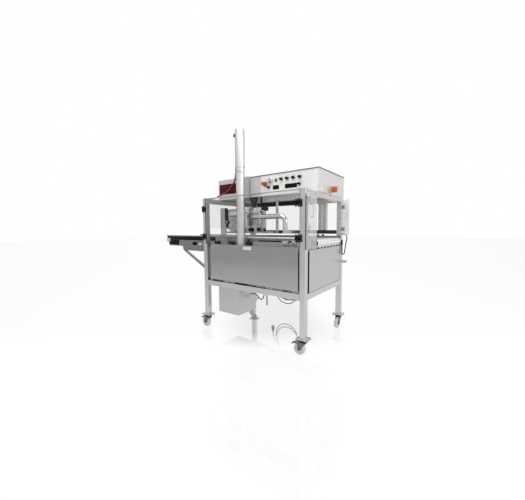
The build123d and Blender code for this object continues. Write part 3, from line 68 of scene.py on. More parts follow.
# Surfaces, each its points and its faces
def skin(points, close_rows=False, close_cols=False):
    """A surface through a grid of points, a face on each four neighbours; a fourth way repeats the surface."""
    points = np.asarray(points, float)
    rows, cols = points.shape[-3:-1]
    row, col = np.meshgrid(np.arange(rows - (not close_rows)), np.arange(cols - (not close_cols)), indexing="ij")
    row_next = (row + 1) % rows
    col_next = (col + 1) % cols
    corners = [row * cols + col, row * cols + col_next, row_next * cols + col_next, row_next * cols + col]
    faces = np.stack(corners, -1).reshape(-1, 4)
    copies = points.reshape(-1, rows * cols, 3)
    shift = np.arange(len(copies))[:, None, None] * rows * cols
    return copies.reshape(-1, 3), (faces[None] + shift).reshape(-1, 4)


def circle(sides):
    """Angles evenly spaced round one turn."""
    return np.linspace(0, 2 * math.pi, sides, endpoint=False)


def square_to(axes):
    """Two unit directions square to each unit axis and to each other, by cross products."""
    side = np.cross(axes, np.where(np.abs(axes[..., :1]) < 0.9, X, Y))
    side /= np.linalg.norm(side, axis=-1, keepdims=True)
    return side, np.cross(axes, side)


def turned(profile, places, axes, sides=32, ripple=0.0, ripples=0):
    """A turned form at one place or many: the place, plus the profile's radius along a way that goes round the
    axis, plus its height along the axis. The radius is times one plus a ripple of the angle's cosine."""
    profile = np.asarray(profile, float)[:, None]
    places = np.asarray(places, float).reshape(-1, 3)
    axes = np.broadcast_to(np.asarray(axes, float), places.shape)
    side, other = square_to(axes)
    angle = circle(sides)
    wave = 1 + ripple * np.cos(ripples * angle)
    ring = (wave * np.cos(angle))[:, None] * side[:, None] + (wave * np.sin(angle))[:, None] * other[:, None]
    points = profile[..., :1] * ring[:, None] + profile[..., 1:] * axes[:, None, None]
    return skin(places[:, None, None] + points, close_cols=True)


def rod(radius, low, high):
    """Profile of a plain round rod."""
    return [(0, low), (radius, low), (radius, high), (0, high)]


def hollow(inner, outer, low, high):
    """Profile of a plain round ring."""
    return [(inner, low), (outer, low), (outer, high), (inner, high), (inner, low)]


def rounded_box(centre, size, radius, axes=(X, Y, Z), steps=3):
    """A box with round edges: the corner of an inner box plus a ball of the edge's radius, corner by corner."""
    half = np.asarray(size, float) / 2
    arc = np.linspace(0, math.pi / 2, steps + 1)
    lon = (arc + np.arange(4)[:, None] * math.pi / 2).ravel()
    lat = np.concatenate([arc - math.pi / 2, arc])[:, None]
    grow = np.stack(np.broadcast_arrays(np.cos(lat) * np.cos(lon), np.cos(lat) * np.sin(lon), np.sin(lat)), -1)
    sign_x, sign_y, sign_z = (np.repeat(signs, steps + 1) for signs in ([1, -1, -1, 1], [1, 1, -1, -1], [-1, 1]))
    corner = np.stack(np.broadcast_arrays(sign_x, sign_y, sign_z[:, None]), -1)
    foot, head = (np.broadcast_to((0, 0, end), (1, len(lon), 3)) for end in (-half[2], half[2]))
    points = np.concatenate([foot, corner * (half - radius) + radius * grow, head])
    return skin(np.asarray(centre, float) + points @ np.asarray(axes, float), close_cols=True)


def block(x0, x1, y0, y1, z0, z1, radius=1.0, steps=2):
    """A round-edged box between two corners."""
    centre = ((x0 + x1) / 2, (y0 + y1) / 2, (z0 + z1) / 2)
    return rounded_box(centre, (x1 - x0, y1 - y0, z1 - z0), radius, steps=steps)


def swept(path, radius, normal, sides, closed=False):
    """A round bar along a path in a plane: the path, plus the radius times the cosine across the path in the
    plane and the sine along the plane's normal."""
    if closed:
        tangent = np.roll(path, -1, 0) - np.roll(path, 1, 0)
    else:
        tangent = np.gradient(path, axis=0)
    tangent /= np.linalg.norm(tangent, axis=1)[:, None]
    other = np.cross(tangent, normal)
    angle = circle(sides)[:, None]
    points = path[:, None] + radius * (np.cos(angle) * other[:, None] + np.sin(angle) * normal)
    if not closed:
        first, last = (np.broadcast_to(path[end], (1, sides, 3)) for end in (0, -1))
        points = np.concatenate([first, points, last])
    return skin(points, close_rows=closed, close_cols=True)


def piece(name, skins, finish, body="machine", stands_for=(), sharp=38):
    """Join skins into one piece, close its seams, point its faces outwards and let it ride on a body."""
    starts = np.cumsum([0] + [len(points) for points, _ in skins])
    points = np.concatenate([points for points, _ in skins]) / 1000
    faces = np.concatenate([faces + start for (_, faces), start in zip(skins, starts)])
    mesh = bpy.data.meshes.new(name)
    mesh.from_pydata(points.tolist(), [], faces.tolist())
    work = bmesh.new()
    work.from_mesh(mesh)
    bmesh.ops.remove_doubles(work, verts=work.verts, dist=2e-6)
    bmesh.ops.recalc_face_normals(work, faces=work.faces)
    work.to_mesh(mesh)
    work.free()
    mesh.shade_smooth()
    mesh.set_sharp_from_angle(angle=math.radians(sharp))
    mesh.materials.append(finish)
    made = bpy.data.objects.new(name, mesh)
    bpy.context.scene.collection.objects.link(made)
    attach(made, body)
    if stands_for:
        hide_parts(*stands_for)
    return made


# Nodes of the finishes
def plug(node, inputs):
    """Set a node's inputs, each to a value or to another node's output."""
    for key, value in inputs.items():
        if isinstance(value, bpy.types.NodeSocket):
            node.id_data.links.new(value, node.inputs[key])
        else:
            node.inputs[key].default_value = value
    return node


def added(kind, inputs, tree=None, **settings):
    """A new shader node with its settings and its inputs, in the tree of its inputs if none is given."""
    tree = tree or next(value.id_data for value in inputs.values() if isinstance(value, bpy.types.NodeSocket))
    node = tree.nodes.new(f"ShaderNode{kind}")
    for key, value in settings.items():
        setattr(node, key, value)
    return plug(node, inputs)


def noise(vector, scale, detail=3.0, rough=0.55):
    """A noise texture on given coordinates."""
    inputs = {"Vector": vector, "Scale": scale, "Detail": detail, "Roughness": rough}
    return added("TexNoise", inputs).outputs["Fac"]


def maths(operation, *values):
    """A sum, product or other step on values, each a number or another node's output."""
    return added("Math", dict(enumerate(values)), operation=operation).outputs[0]


def along_way(vector, way):
    """How far a vector goes along a way, their dot product."""
    return added("VectorMath", {0: vector, 1: way}, operation="DOT_PRODUCT").outputs["Value"]


def ramp(value, low, high, to_low, to_high):
    """A value moved from one range to another, and kept inside it."""
    inputs = {"Value": value, "From Min": low, "From Max": high, "To Min": to_low, "To Max": to_high}
    return added("MapRange", inputs).outputs["Result"]


def drifting(value, to_low=0.0, to_high=1.0):
    """The usual values of a noise, spread over a range."""
    return ramp(value, 0.3, 0.7, to_low, to_high)


def slanted(shader, blend, low, high, to_low, to_high):
    """A value that changes as a face turns away from the eye."""
    facing = added("LayerWeight", {"Blend": blend}, shader.id_data).outputs["Facing"]
    return ramp(facing, low, high, to_low, to_high)


def two_tone(factor, dark, light):
    """A colour between two, each a grey level, three shares or another node's output."""
    first, last = (tone if isinstance(tone, bpy.types.NodeSocket) else (*np.broadcast_to(tone, 3), 1)
                   for tone in (dark, light))
    return added("Mix", {"Factor": factor, 6: first, 7: last}, data_type="RGBA").outputs[2]


def bumped(height, strength, distance, **under):
    """A bump from a height, over another normal if given."""
    inputs = {"Height": height, "Strength": strength, "Distance": distance, **under}
    return added("Bump", inputs).outputs["Normal"]


def new_effect(name, inputs, outputs):
    """An empty effect that finishes share, its given values and the node of its results."""
    group = bpy.data.node_groups.new(name, "ShaderNodeTree")
    for socket, kind in inputs.items():
        group.interface.new_socket(name=socket, in_out="INPUT", socket_type=f"NodeSocket{kind}")
    for socket in outputs:
        group.interface.new_socket(name=socket, in_out="OUTPUT", socket_type="NodeSocketFloat")
    return group, group.nodes.new("NodeGroupInput").outputs, group.nodes.new("NodeGroupOutput")


def brush_effect():
    """Brush lines: fine noise drawn out along one way, and slow clouds of handling over it."""
    group, given, result = new_effect("brush_lines", {"Vector": "Vector", "Stretch": "Vector"}, ("Line", "Cloud"))
    drawn = added("VectorMath", {0: given["Vector"], 1: given["Stretch"]}, operation="MULTIPLY")
    plug(result, {"Line": noise(drawn.outputs["Vector"], 1.0, 4.0, 0.7),
                  "Cloud": noise(given["Vector"], 5.0)})
    return group


def mottle_effect():
    """Mottle: a fine grain and a slow drift, for plastics and paint."""
    group, given, result = new_effect("mottle", {"Vector": "Vector", "Grain": "Float"}, ("Grain", "Drift"))
    plug(result, {"Grain": noise(given["Vector"], given["Grain"], 2.0, 0.5),
                  "Drift": noise(given["Vector"], 14.0)})
    return group


brush_lines = brush_effect()
mottle = mottle_effect()


def new_finish(name):
    """A material with its shader and its object coordinates."""
    finish = bpy.data.materials.new(name)
    finish.use_nodes = True
    tree = finish.node_tree
    return finish, tree.nodes["Principled BSDF"], tree.nodes.new("ShaderNodeTexCoord").outputs["Object"]


def steel(name, tone, stretch, rough, spread, bump, waves=0.0, wave_size=0.0, rim_painted_shade=1.0):
    """Stainless steel: brush lines along one way, cloudy gloss, slow waves in thin sheet and a painted shade that
    darkens the rim as the face turns from the eye.
    """
    finish, shader, place = new_finish(name)
    lines = added("Group", {"Vector": place, "Stretch": stretch}, node_tree=brush_lines).outputs
    blend = maths("MULTIPLY_ADD", lines["Line"], 0.7, maths("MULTIPLY", lines["Cloud"], 0.3))
    colour = two_tone(drifting(blend), tone * (1 - spread), tone * (1 + spread))
    # painted shade: the colour and the edge's gloss darken where the face turns from the eye
    if rim_painted_shade < 1:
        colour = two_tone(slanted(shader, 0.5, 0.3, 0.95, 0.0, 1.0), colour, tone * rim_painted_shade)
        plug(shader, {"Specular Tint": (rim_painted_shade, rim_painted_shade, rim_painted_shade, 1)})
    normal = bumped(lines["Line"], bump, 0.0004)
    if waves:
        normal = bumped(noise(place, wave_size, 1.0), 1.0, waves, Normal=normal)
    plug(shader, {"Base Color": colour, "Roughness": drifting(blend, *rough), "Normal": normal,
                  "Metallic": 1.0})
    return finish


def plastic(name, dark, light, rough=(0.35, 0.5), grain=600.0, bump=0.15, gloss=0.5):
    """Moulded plastic: a fine grain in its skin and a slow drift of colour and gloss."""
    finish, shader, place = new_finish(name)
    marks = added("Group", {"Vector": place, "Grain": grain}, node_tree=mottle).outputs
    plug(shader, {"Base Color": two_tone(drifting(marks["Drift"]), dark, light),
                  "Roughness": drifting(marks["Drift"], *rough),
                  "Normal": bumped(marks["Grain"], bump, 0.0003), "Specular IOR Level": gloss})
    return finish


def clear_sheet(name, tint, face_on, edge_on, rough):
    """Clear acrylic: it lets most light through face on and veils what is behind it at a slant."""
    finish, shader, place = new_finish(name)
    marks = added("Group", {"Vector": place, "Grain": 90.0}, node_tree=mottle).outputs
    tint = np.array(tint)
    plug(shader, {"Base Color": two_tone(drifting(marks["Drift"]), tint * 0.97, tint),
                  "Alpha": slanted(shader, 0.35, 0.1, 0.85, face_on, edge_on),
                  "Roughness": drifting(marks["Drift"], rough, rough + 0.05), "IOR": 1.49})
    return finish


def slotted_belt(name):
    """White belt: rows of small darker slots, sunk a little into its face."""
    finish, shader, place = new_finish(name)
    apart = added("SeparateXYZ", {0: place}).outputs
    ways = [maths("LESS_THAN", maths("FRACT", maths("MULTIPLY", apart[way], per_metre)), share)
            for way, per_metre, share in (("X", 80.0, 0.35), ("Y", 50.0, 0.45))]
    slots = maths("MULTIPLY", *ways)
    marks = added("Group", {"Vector": place, "Grain": 500.0}, node_tree=mottle).outputs
    plug(shader, {"Base Color": two_tone(slots, (0.82, 0.82, 0.8), (0.45, 0.45, 0.44)),
                  "Roughness": drifting(marks["Drift"], 0.4, 0.55),
                  "Normal": bumped(maths("SUBTRACT", 1.0, slots), 0.5, 0.001)})
    return finish


# Finishes
grey = np.array((1.0, 0.995, 0.985))
bluish = np.array((0.2, 0.205, 0.215))
upright_steel = steel("upright_brushed_steel", grey * 0.74, (240, 240, 5), (0.26, 0.36), 0.03, 0.04)
ceiling_steel = steel("ceiling_satin_steel", grey * 0.84, (5, 5, 240), (0.5, 0.6), 0.03, 0.04)
box_steel = steel("satin_box_steel", grey * 0.78, (5, 5, 160), (0.56, 0.66), 0.03, 0.04)
satin_steel = steel("satin_sheet_steel", grey * 0.66, (60, 60, 60), (0.3, 0.4), 0.03, 0.05)
# the column's edges are darkened by painted shade
column_steel = steel("column_satin_steel", grey * 0.88, (120, 120, 4), (0.42, 0.52), 0.03, 0.05, rim_painted_shade=0.5)
bright_steel = steel("bright_satin_steel", grey * 0.95, (60, 60, 60), (0.45, 0.55), 0.02, 0.03)
conveyor_steel = steel("conveyor_plate_steel", grey * 0.36, (5, 5, 200), (0.2, 0.32), 0.08, 0.08)
panel_steel = steel("wavy_panel_steel", grey * 0.57, (4, 4, 160), (0.14, 0.22), 0.04, 0.03, 0.006, 3.0)
polished_steel = steel("polished_steel", grey * 0.8, (30, 30, 30), (0.08, 0.18), 0.03, 0.03)
head_steel = steel("head_polished_steel", grey * 0.5, (30, 30, 30), (0.07, 0.15), 0.05, 0.03, 0.006, 11.0)
zinc = steel("zinc_plate", bluish, (70, 70, 70), (0.28, 0.42), 0.12, 0.1)
screw_steel = steel("screw_steel", grey * 0.55, (300, 300, 300), (0.25, 0.35), 0.08, 0.1)
motor_paint = plastic("motor_paint", (0.16, 0.17, 0.18), (0.2, 0.21, 0.22))
lid_paint = plastic("lid_grey", 0.1, 0.13, (0.4, 0.5), gloss=0.25)
black_plastic = plastic("black_plastic", 0.004, 0.009, gloss=0.1)
# white plastic, and also the colour of pale pieces of painted light
white_plastic = plastic("white_plastic", (0.7, 0.7, 0.69), (0.78, 0.78, 0.77))
overlay_print = plastic("overlay_print", (0.86, 0.86, 0.85), (0.9, 0.9, 0.89), (0.4, 0.5), 900.0, 0.05)
red_plastic = plastic("stop_red", (0.4, 0.065, 0.028), (0.5, 0.1, 0.04), (0.3, 0.4))
pale_plastic = plastic("start_pale", (0.6, 0.55, 0.55), (0.68, 0.63, 0.63))
dark_red_plastic = plastic("isolator_red", (0.50, 0.07, 0.025), (0.62, 0.11, 0.04), (0.3, 0.4))
collar_plastic = plastic("collar_olive", (0.13, 0.13, 0.07), (0.18, 0.18, 0.1))
olive_plastic = plastic("isolator_olive", (0.42, 0.41, 0.28), (0.5, 0.49, 0.35))
# pale pink grip: a painted highlight on the red handle
grip_painted_highlight = plastic("isolator_grip_painted_highlight", (0.66, 0.3, 0.28), (0.75, 0.38, 0.35))
# black rubber, and also the colour of dark strips of painted shade
rubber_and_painted_shade = plastic("black_rubber_and_painted_shade", 0.006, 0.012, (0.55, 0.7), gloss=0.1)
# dark grey of the pump terminal, and also of strips of painted shade
dark_seal_and_painted_shade = plastic("dark_seal_and_painted_shade", 0.05, 0.07, (0.5, 0.6), gloss=0.15)
lamp_lens = plastic("lamp_lens", (0.14, 0.15, 0.06), (0.2, 0.21, 0.09), (0.12, 0.2))
sign_glass = plastic("sign_glass", (0.04, 0.002, 0.004), (0.07, 0.003, 0.005), (0.12, 0.2), 300.0, 0.02, 0.15)
display_glass = plastic("display_glass", (0.003, 0.003, 0.004), (0.006, 0.005, 0.005), (0.12, 0.2), 300.0, 0.02,
                        0.1)
digit_red = plastic("digit_red", (0.035, 0.008, 0.008), (0.05, 0.012, 0.012), gloss=0.1)
pale_tyre = plastic("pale_tyre", (0.6, 0.62, 0.63), (0.68, 0.7, 0.71))
blue_hub = plastic("blue_hub", (0.16, 0.21, 0.32), (0.2, 0.26, 0.38))
red_cable = plastic("red_cable", (0.4, 0.03, 0.07), (0.5, 0.05, 0.1), (0.4, 0.5))
black_cable = plastic("black_cable", (0.008, 0.008, 0.009), (0.014, 0.014, 0.015), (0.4, 0.5), gloss=0.2)
blue_tube = plastic("blue_tube", (0.07, 0.13, 0.2), (0.1, 0.17, 0.25), (0.2, 0.3))
acrylic = clear_sheet("clear_acrylic", (0.10, 0.105, 0.10), 0.04, 0.2, 0.04)
# the end doors' pale tints and strong veils are painted sheen, in place of the reflection of the slanted sheets
near_acrylic_painted_sheen = clear_sheet("near_end_acrylic_painted_sheen", (0.66, 0.68, 0.67), 0.26, 0.55, 0.04)
far_acrylic_painted_sheen = clear_sheet("far_end_acrylic_painted_sheen", (0.88, 0.9, 0.89), 0.2, 0.5, 0.04)
handle_acrylic = clear_sheet("handle_acrylic", (0.6, 0.62, 0.61), 0.35, 0.8, 0.06)
white_belt = slotted_belt("white_belt")

# Finishes of the solids that stay
node_finishes = {
    upright_steel: ["welded_frame"],
    column_steel: ["pump_tube"],
    ceiling_steel: ["ceiling_plate"],
    box_steel: ["control_box", "sign_box"],
    conveyor_steel: ["conveyor_sides"],
    satin_steel: ["tank", "lower_side_panels", "drive_box", "pump_auger"],
    panel_steel: ["front_panel"],
    head_steel: ["curtain_hopper", "head_supports", "blower"],
    polished_steel: ["air_duct", "infeed_nose_roller", "wire_belt_drive_roller", "detailing_rod",
                     "takeoff_drive_roller", "takeoff_nose_roller"],
    zinc: ["caster_plates", "caster_fork_front_left", "caster_fork_front_right", "caster_fork_back_left",
           "caster_fork_back_right", "caster_brake_front_left", "caster_brake_front_right"],
    lid_paint: ["control_box_lid"],
    motor_paint: ["drive_motors"],
    acrylic: ["guard_panels"],
    white_belt: ["takeoff_belt"],
}
for finish, names in node_finishes.items():
    for name in names:
        nodes[name].data.materials.clear()
        nodes[name].data.materials.append(finish)


# Cords, each a smooth line through the route of its tube
def cord(name, points, radius, finish,
         stands_for=()):
    """A round cord on one smooth line, of its given thickness."""
    curve = bpy.data.curves.new(name, "CURVE")
    curve.dimensions = "3D"
    curve.bevel_depth = radius / 1000
    curve.bevel_resolution = 3
    curve.use_fill_caps = True
    curve.resolution_u = 10
    spline = curve.splines.new("NURBS")
    spline.points.add(len(points) - 1)
    weighted = np.column_stack([np.asarray(points, float) / 1000, np.ones(len(points))])
    spline.points.foreach_set("co", weighted.ravel())
    spline.order_u = 3
    spline.use_endpoint_u = True
    curve.materials.append(finish)
    made = bpy.data.objects.new(name, curve)
    bpy.context.scene.collection.objects.link(made)
    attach(made, "machine")
    if stands_for:
        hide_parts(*stands_for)


column_x = left + 400
column_y = front + 130
cover_radius = 45.5
cover_foot = frame_top + 276
cover_top = cover_foot + 363
terminal_foot = cover_top - 64
cable_x = column_x - cover_radius - 4.3
sign_entry = box_foot + 22
for name, finish, step, length, replaced in (("red_pump_cable", red_cable, -6, 823, ["hoses_and_cables"]),
                                            ("black_pump_cable", black_cable, 6, 813, ())):
    cable_y = column_y + step
    cable_points = [
        (cable_x, cable_y, terminal_foot), (cable_x, cable_y, terminal_foot - 110),
        (cable_x - 1, cable_y, cover_foot + 40), (cable_x - 5, cable_y, cover_foot - 60),
        (left + 325, cable_y, sign_entry + 126), (left + 264, cable_y, sign_entry + 64),
        (left + 207, cable_y, sign_entry + 30), (left + 121, cable_y + 4, sign_entry + 11),
        (left + 45, cable_y + 30, sign_entry + 2), (left + 36, panel_y - 34, sign_entry),
        (left + 36, panel_y, sign_entry),
    ]
    cord(name, cable_points, 4, finish, stands_for=replaced)
drive_x1 = left + 419
drive_top = 465.0
rail_foot = 455.0
rail_top = 505.0
loop_y = front + 300
loop_points = [
    (drive_x1, loop_y, drive_top - 112), (drive_x1 + 42, loop_y, drive_top - 112),
    (drive_x1 + 86, loop_y, drive_top - 170), (drive_x1 + 130, loop_y, drive_top - 140),
    (drive_x1 + 142, loop_y, drive_top - 50), (drive_x1 + 142, loop_y, rail_top),
]
cord("black_loop_cable", loop_points, 5, black_cable)
drain_points = [(drive_x1 + 170, loop_y, z) for z in (rail_top, drive_top - 93, drive_top - 209)]
cord("blue_drain_tube", drain_points, 6, blue_tube)
rail_points = [(right - x, front + half_tube, rail_foot - drop)
               for x, drop in ((249, 4), (205, 12), (150, 16), (105, 8), (70, 4))]
cord("red_rail_cable", rail_points, 4, red_cable)
switch_x = right + 7
switch_y = back - 42
switch_foot = 862.0
switch_points = [
    (switch_x, switch_y, switch_foot), (switch_x, switch_y, switch_foot - 46),
    (switch_x + 3, switch_y + 4, switch_foot - 98), (switch_x + 9, switch_y + 50, switch_foot - 98),
    (switch_x + 15, switch_y + 54, switch_foot - 36), (switch_x + 22, switch_y + 52, switch_foot + 20),
    (switch_x + 40, switch_y + 40, switch_foot + 80), (switch_x + 24, switch_y + 26, switch_foot + 110),
    (right, switch_y + 26, switch_foot + 110),
]
cord("door_switch_cable", switch_points, 5, black_cable)

# Mains cord: over the hook in two hanging turns, then down to its plug
hook_x = left + 488
hook_z = 560.0
top_bend = 45 + 4.5 + 0.3
loop_bend = 150.0
loop_drops = (282.0, 240.0)
turn_apart = 14
leans = [math.asin((loop_bend - top_bend) / drop) for drop in loop_drops]
lean = leans[-1]
inlet_x = left + 610
mains_y = back + 8
gland_long = 26
gland_z = hook_z + 54


def bend_points(centre_z, radius, start, turn, count):
    """Corners of a run of short tangents round a circle, seen from the front: at the middle of each step, as far
    out as the radius over the cosine of half a step."""
    step = turn / count
    angle = start + step * (np.arange(count) + 0.5)
    reach = radius / math.cos(step / 2)
    return np.column_stack([hook_x + reach * np.cos(angle), centre_z + reach * np.sin(angle)])


bends = []
for drop, lean_in, lean_out in zip(loop_drops, leans[:1] + leans, leans):
    bends.append(bend_points(hook_z, top_bend, lean_in, math.pi - lean_in - lean_out, 4))
    bends.append(bend_points(hook_z - drop, loop_bend, math.pi - lean_out, math.pi + 2 * lean_out, 8))
bends.append(bend_points(hook_z, top_bend, lean, math.pi - 2 * lean, 4))
turn_x, turn_z = np.concatenate(bends).T
turn_y = mains_y + turn_apart * np.arange(len(turn_x)) / 12
hanging_turns = np.column_stack([turn_x, turn_y, turn_z])[2:]
last_y = mains_y + turn_apart * 2.2
side_x = hook_x - (top_bend * math.cos(lean) + 75 * math.sin(lean))
side_z = hook_z + top_bend * math.sin(lean) - 75 * math.cos(lean)
gland_x = inlet_x - gland_long
mains_points = [
    (gland_x, mains_y, gland_z), (gland_x - 32, mains_y, gland_z), *map(tuple, hanging_turns),
    (side_x, last_y + 2, side_z), (side_x - 60 * math.sin(lean), last_y + 2, side_z - 60 * math.cos(lean)),
    (left + 313, last_y + 6, hook_z - 160), (left + 286, last_y + 7, hook_z - 208),
    (left + 270, last_y + 7, hook_z - 246), (left + 270, last_y + 7, hook_z - 277),
]
plug_end = np.array(mains_points[-1])
plug_profile = [(0, 0), (7, 0), (7.6, 2), (8, 5), (7.2, 6), (8.6, 9), (7.8, 10), (9.6, 14), (9, 15), (11.5, 20),
                (16, 26), (18.6, 31), (19, 34), (19, 70), (18, 74), (16, 76), (0, 76)]
pin_profile = [(0, 76), (2.4, 76), (2.4, 92), (1.6, 95), (0, 95)]
mains_plug = piece("mains_plug_body", [turned(plug_profile, plug_end, -Z, 40)], black_cable,
                   stands_for=["mains_plug"])
pins = turned(pin_profile, [plug_end - 9.5 * X, plug_end + 9.5 * X], -Z, 14)
mains_pins = piece("mains_plug_pins", [pins], screw_steel)
cord("mains_cord", mains_points, 4.5, black_cable,
     ["mains_cord_coil", "mains_cord_tail"])

# Doors: hinge axis, angle, facing, width, foot, top, hinges' levels and height, handle's place, foot, height, reach
door_foot = belt_top - 60
front_door_top = frame_top - 3
hinge_left_x = left + half_tube
hinge_right_x = right - 54
front_width = (hinge_right_x - hinge_left_x - 4) / 2
front_parts = (front_width, door_foot, front_door_top, (door_foot + 75, front_door_top - 105), 64,
               front_width - 43, door_foot + 167, 118, 45)
near_top = frame_top - 8
near_foot = belt_top - 78
far_top = frame_top - 35
far_foot = plates_top + 7
far_door_shut = -90
doors = {
    "front_door_left": (hinge_left_x, front - 14, 0, -1, *front_parts),
    "front_door_right": (hinge_right_x, front - 14, 180, 1, *front_parts),
    "end_door_near": (right + 14, front + half_tube, 90, -1, 168, near_foot, near_top,
                      (near_foot + 176, near_top - 41), 40, 46, near_top - 215, 110, 32),
    "end_door_far": (right + 14, back - half_tube, -50, 1, 168, far_foot, far_top,
                     (far_foot + 60, far_top - 60), 40, 46, far_top - 180, 110, 32),
}
door_eye = [(0, -7), (9, -7), (11, -5), (11, 1), (9.5, 2.8), (0, 3)]
post_eye = [(0, -14), (9, -14), (9.8, -5), (9.8, 1), (8.5, 2.8), (0, 3)]
screw_head = [(0, 1.9), (1.6, 1.8), (2.9, 1.2), (3.4, 0.2), (3.4, 0), (0, 0)]
sweep = np.linspace(0, math.pi, 41)
bow_squareness = 0.3
bow_up = np.abs(np.cos(sweep)) ** bow_squareness * np.sign(np.cos(sweep))
bow_out = np.abs(np.sin(sweep)) ** bow_squareness


def door_axes(degrees, outward):
    """The ways along, out of and up a door's panel, by the cosine and the sine of its angle."""
    turn = math.radians(degrees)
    out = outward * np.array((-math.sin(turn), math.cos(turn), 0))
    return np.array(((math.cos(turn), math.sin(turn), 0), out, Z))


fixed_screws = []
fixed_axes = []
fixed_leaves = {"front": [], "end": []}
for name, door in doors.items():
    axis_x, axis_y, degrees, outward, width, foot, top, hinge_zs, hinge_height = door[:9]
    handle_along, handle_foot, handle_height, standoff = door[9:]
    axis = np.array((axis_x, axis_y, 0))
    axes = door_axes(degrees, outward)
    shut_axes = door_axes(far_door_shut if name == "end_door_far" else degrees, outward)
    along, out, _ = axes
    shut_out = shut_axes[1]
    kind = name.split("_")[0]
    middle = axis + ((3 + width) / 2, -10, (foot + top) / 2) @ axes
    sheet_finish = {"end_door_near": near_acrylic_painted_sheen, "end_door_far": far_acrylic_painted_sheen}.get(name, acrylic)
    piece(f"{name}_sheet", [rounded_box(middle, (width - 3, 6, top - foot), 1.0, axes, 2)], sheet_finish, name,
          [name])
    leaves = []
    screws = []
    third = hinge_height / 3
    lug = 0.3 * hinge_height
    leaf_height = 0.56 * hinge_height
    for hinge_z in hinge_zs:
        seat = axis + hinge_z * Z
        door_eyes = [seat + (24, 0, step * lug) @ axes for step in (-1, 1)]
        post_eyes = [seat + (-13.5, 0, step * lug) @ shut_axes for step in (-1, 1)]
        knuckles = [seat + step * (third + 0.1) * Z for step in (-1, 1)]
        leaves += [
            rounded_box(seat + (19.5, -2, 0) @ axes, (26, 10, leaf_height), 2.2, axes),
            turned(door_eye, door_eyes, out, 24),
            turned(rod(6, -third / 2, third / 2), seat, Z, 20),
            rounded_box(seat + (4, -2, 0) @ axes, (9, 9.6, third - 0.4), 0.8, axes),
        ]
        fixed_leaves[kind] += [
            rounded_box(seat + (-13.5, -5.5, 0) @ shut_axes, (14, 17, leaf_height), 2.0, shut_axes),
            turned(post_eye, post_eyes, shut_out, 24),
            turned(rod(6, 0.2 - third / 2, third / 2 - 0.2), knuckles, Z, 20),
            *(rounded_box(spot + (-4, 0, 0) @ shut_axes, (9, 6, third - 0.4), 0.8, shut_axes) for spot in knuckles),
        ]
        screws += [eye + 3 * out for eye in door_eyes]
        fixed_screws += [eye + 3 * shut_out for eye in post_eyes]
        fixed_axes += [shut_out, shut_out]
    leaf_finish, leaf_slot = (black_plastic, "black_plastic") if kind == "front" else (satin_steel, "stainless")
    piece(f"{name}_hinge_leaves", leaves, leaf_finish, name)
    piece(f"{name}_hinge_screws", [turned(screw_head, screws, out, 10)], screw_steel, name)
    bow_z = handle_foot + handle_height / 2 + bow_up * (handle_height / 2 - 5)
    bow = np.column_stack([np.full(len(sweep), handle_along), bow_out * (standoff - 5) - 7.5, bow_z])
    piece(f"{name}_handle", [swept(axis + bow @ axes, 5, along, 14)], handle_acrylic, name)
piece("front_hinge_mounts", fixed_leaves["front"], black_plastic, stands_for=["door_hinge_mounts"])
piece("end_hinge_mounts", fixed_leaves["end"], satin_steel)

# Wire belt: wires across it, hooked into the next; the way round sets top run, drive turn, return and nose turn
nose_x = left - 885
drive_x = right - 300
wire_z = belt_top - 44
belt_y0 = near_y + side_plate + 8
belt_y1 = belt_y0 + 528
loop_radius = 42.2
wire_count = 300
straight = drive_x - nose_x
half_turn = math.pi * loop_radius
loop_length = 2 * (straight + half_turn)
wire_pitch = loop_length / wire_count
link_ys = np.linspace(belt_y0 + 12, belt_y1 - 12, 7)
wire_y = np.concatenate([[belt_y0 + 1], (link_ys[:, None] + (-7, -5, 5, 7)).ravel(), [belt_y1 - 1]])
wire_s = np.concatenate([[0], np.tile((0, 0.92, 0.92, 0), len(link_ys)), [0]]) * wire_pitch
on_top = (np.arange(wire_count)[:, None] * wire_pitch + wire_s) % loop_length
at_drive = on_top - straight
below = at_drive - half_turn
at_nose = below - straight
legs = [at_drive < 0, below < 0, at_nose < 0]
path_x = np.select(legs, [nose_x + on_top, drive_x + loop_radius * np.sin(at_drive / loop_radius), drive_x - below],
                   nose_x - loop_radius * np.sin(at_nose / loop_radius))
path_z = wire_z + loop_radius * np.select(legs, [1.0, np.cos(at_drive / loop_radius), -1.0],
                                          -np.cos(at_nose / loop_radius))
wire_line = np.stack([path_x, np.broadcast_to(wire_y, path_x.shape), path_z], -1)[:, :, None]
wire_angle = circle(5)[:, None]
wire_ring = 1.1 * (np.cos(wire_angle) * (X + 0.3 * Y) + np.sin(wire_angle) * Z)
first_end, last_end = (np.repeat(wire_line[:, end], 5, 2) for end in (slice(0, 1), slice(-1, None)))
wires = skin(np.concatenate([first_end, wire_line + wire_ring, last_end], 1), close_cols=True)
piece("wire_belt_mesh", [wires], polished_steel, stands_for=["wire_belt"], sharp=80)

# Casters
posts = {
    "front_left": (left + half_tube, front + half_tube, 0),
    "front_right": (right - half_tube, front + half_tube, 0),
    "back_left": (left + half_tube, back - half_tube, 0),
    "back_right": (right - half_tube, back - half_tube, 90),
}
tyre_profile = [(17, -10), (30, -10), (34, -11), (36, -16), (44, -16), (47.5, -15), (49.6, -12), (50, -9), (50, 9),
                (49.6, 12), (47.5, 15), (44, 16), (36, 16), (34, 11), (30, 10), (17, 10), (17, -10)]
hub_profile = [(5.05, -16), (13, -16), (15, -15), (16.8, -11.5), (16.8, 11.5), (15, 15), (13, 16), (5.05, 16),
               (5.05, -16)]
hex_head = [(0, 5.6), (5.6, 5.6), (6.5, 4.8), (6.5, 1.2), (8, 1.2), (8, 0), (0, 0)]
hex_nut = [(0, -9), (3.6, -9), (4, -8.4), (4, -6.4), (6.5, -6.4), (6.5, 0), (0, 0)]
caster_trail = 32
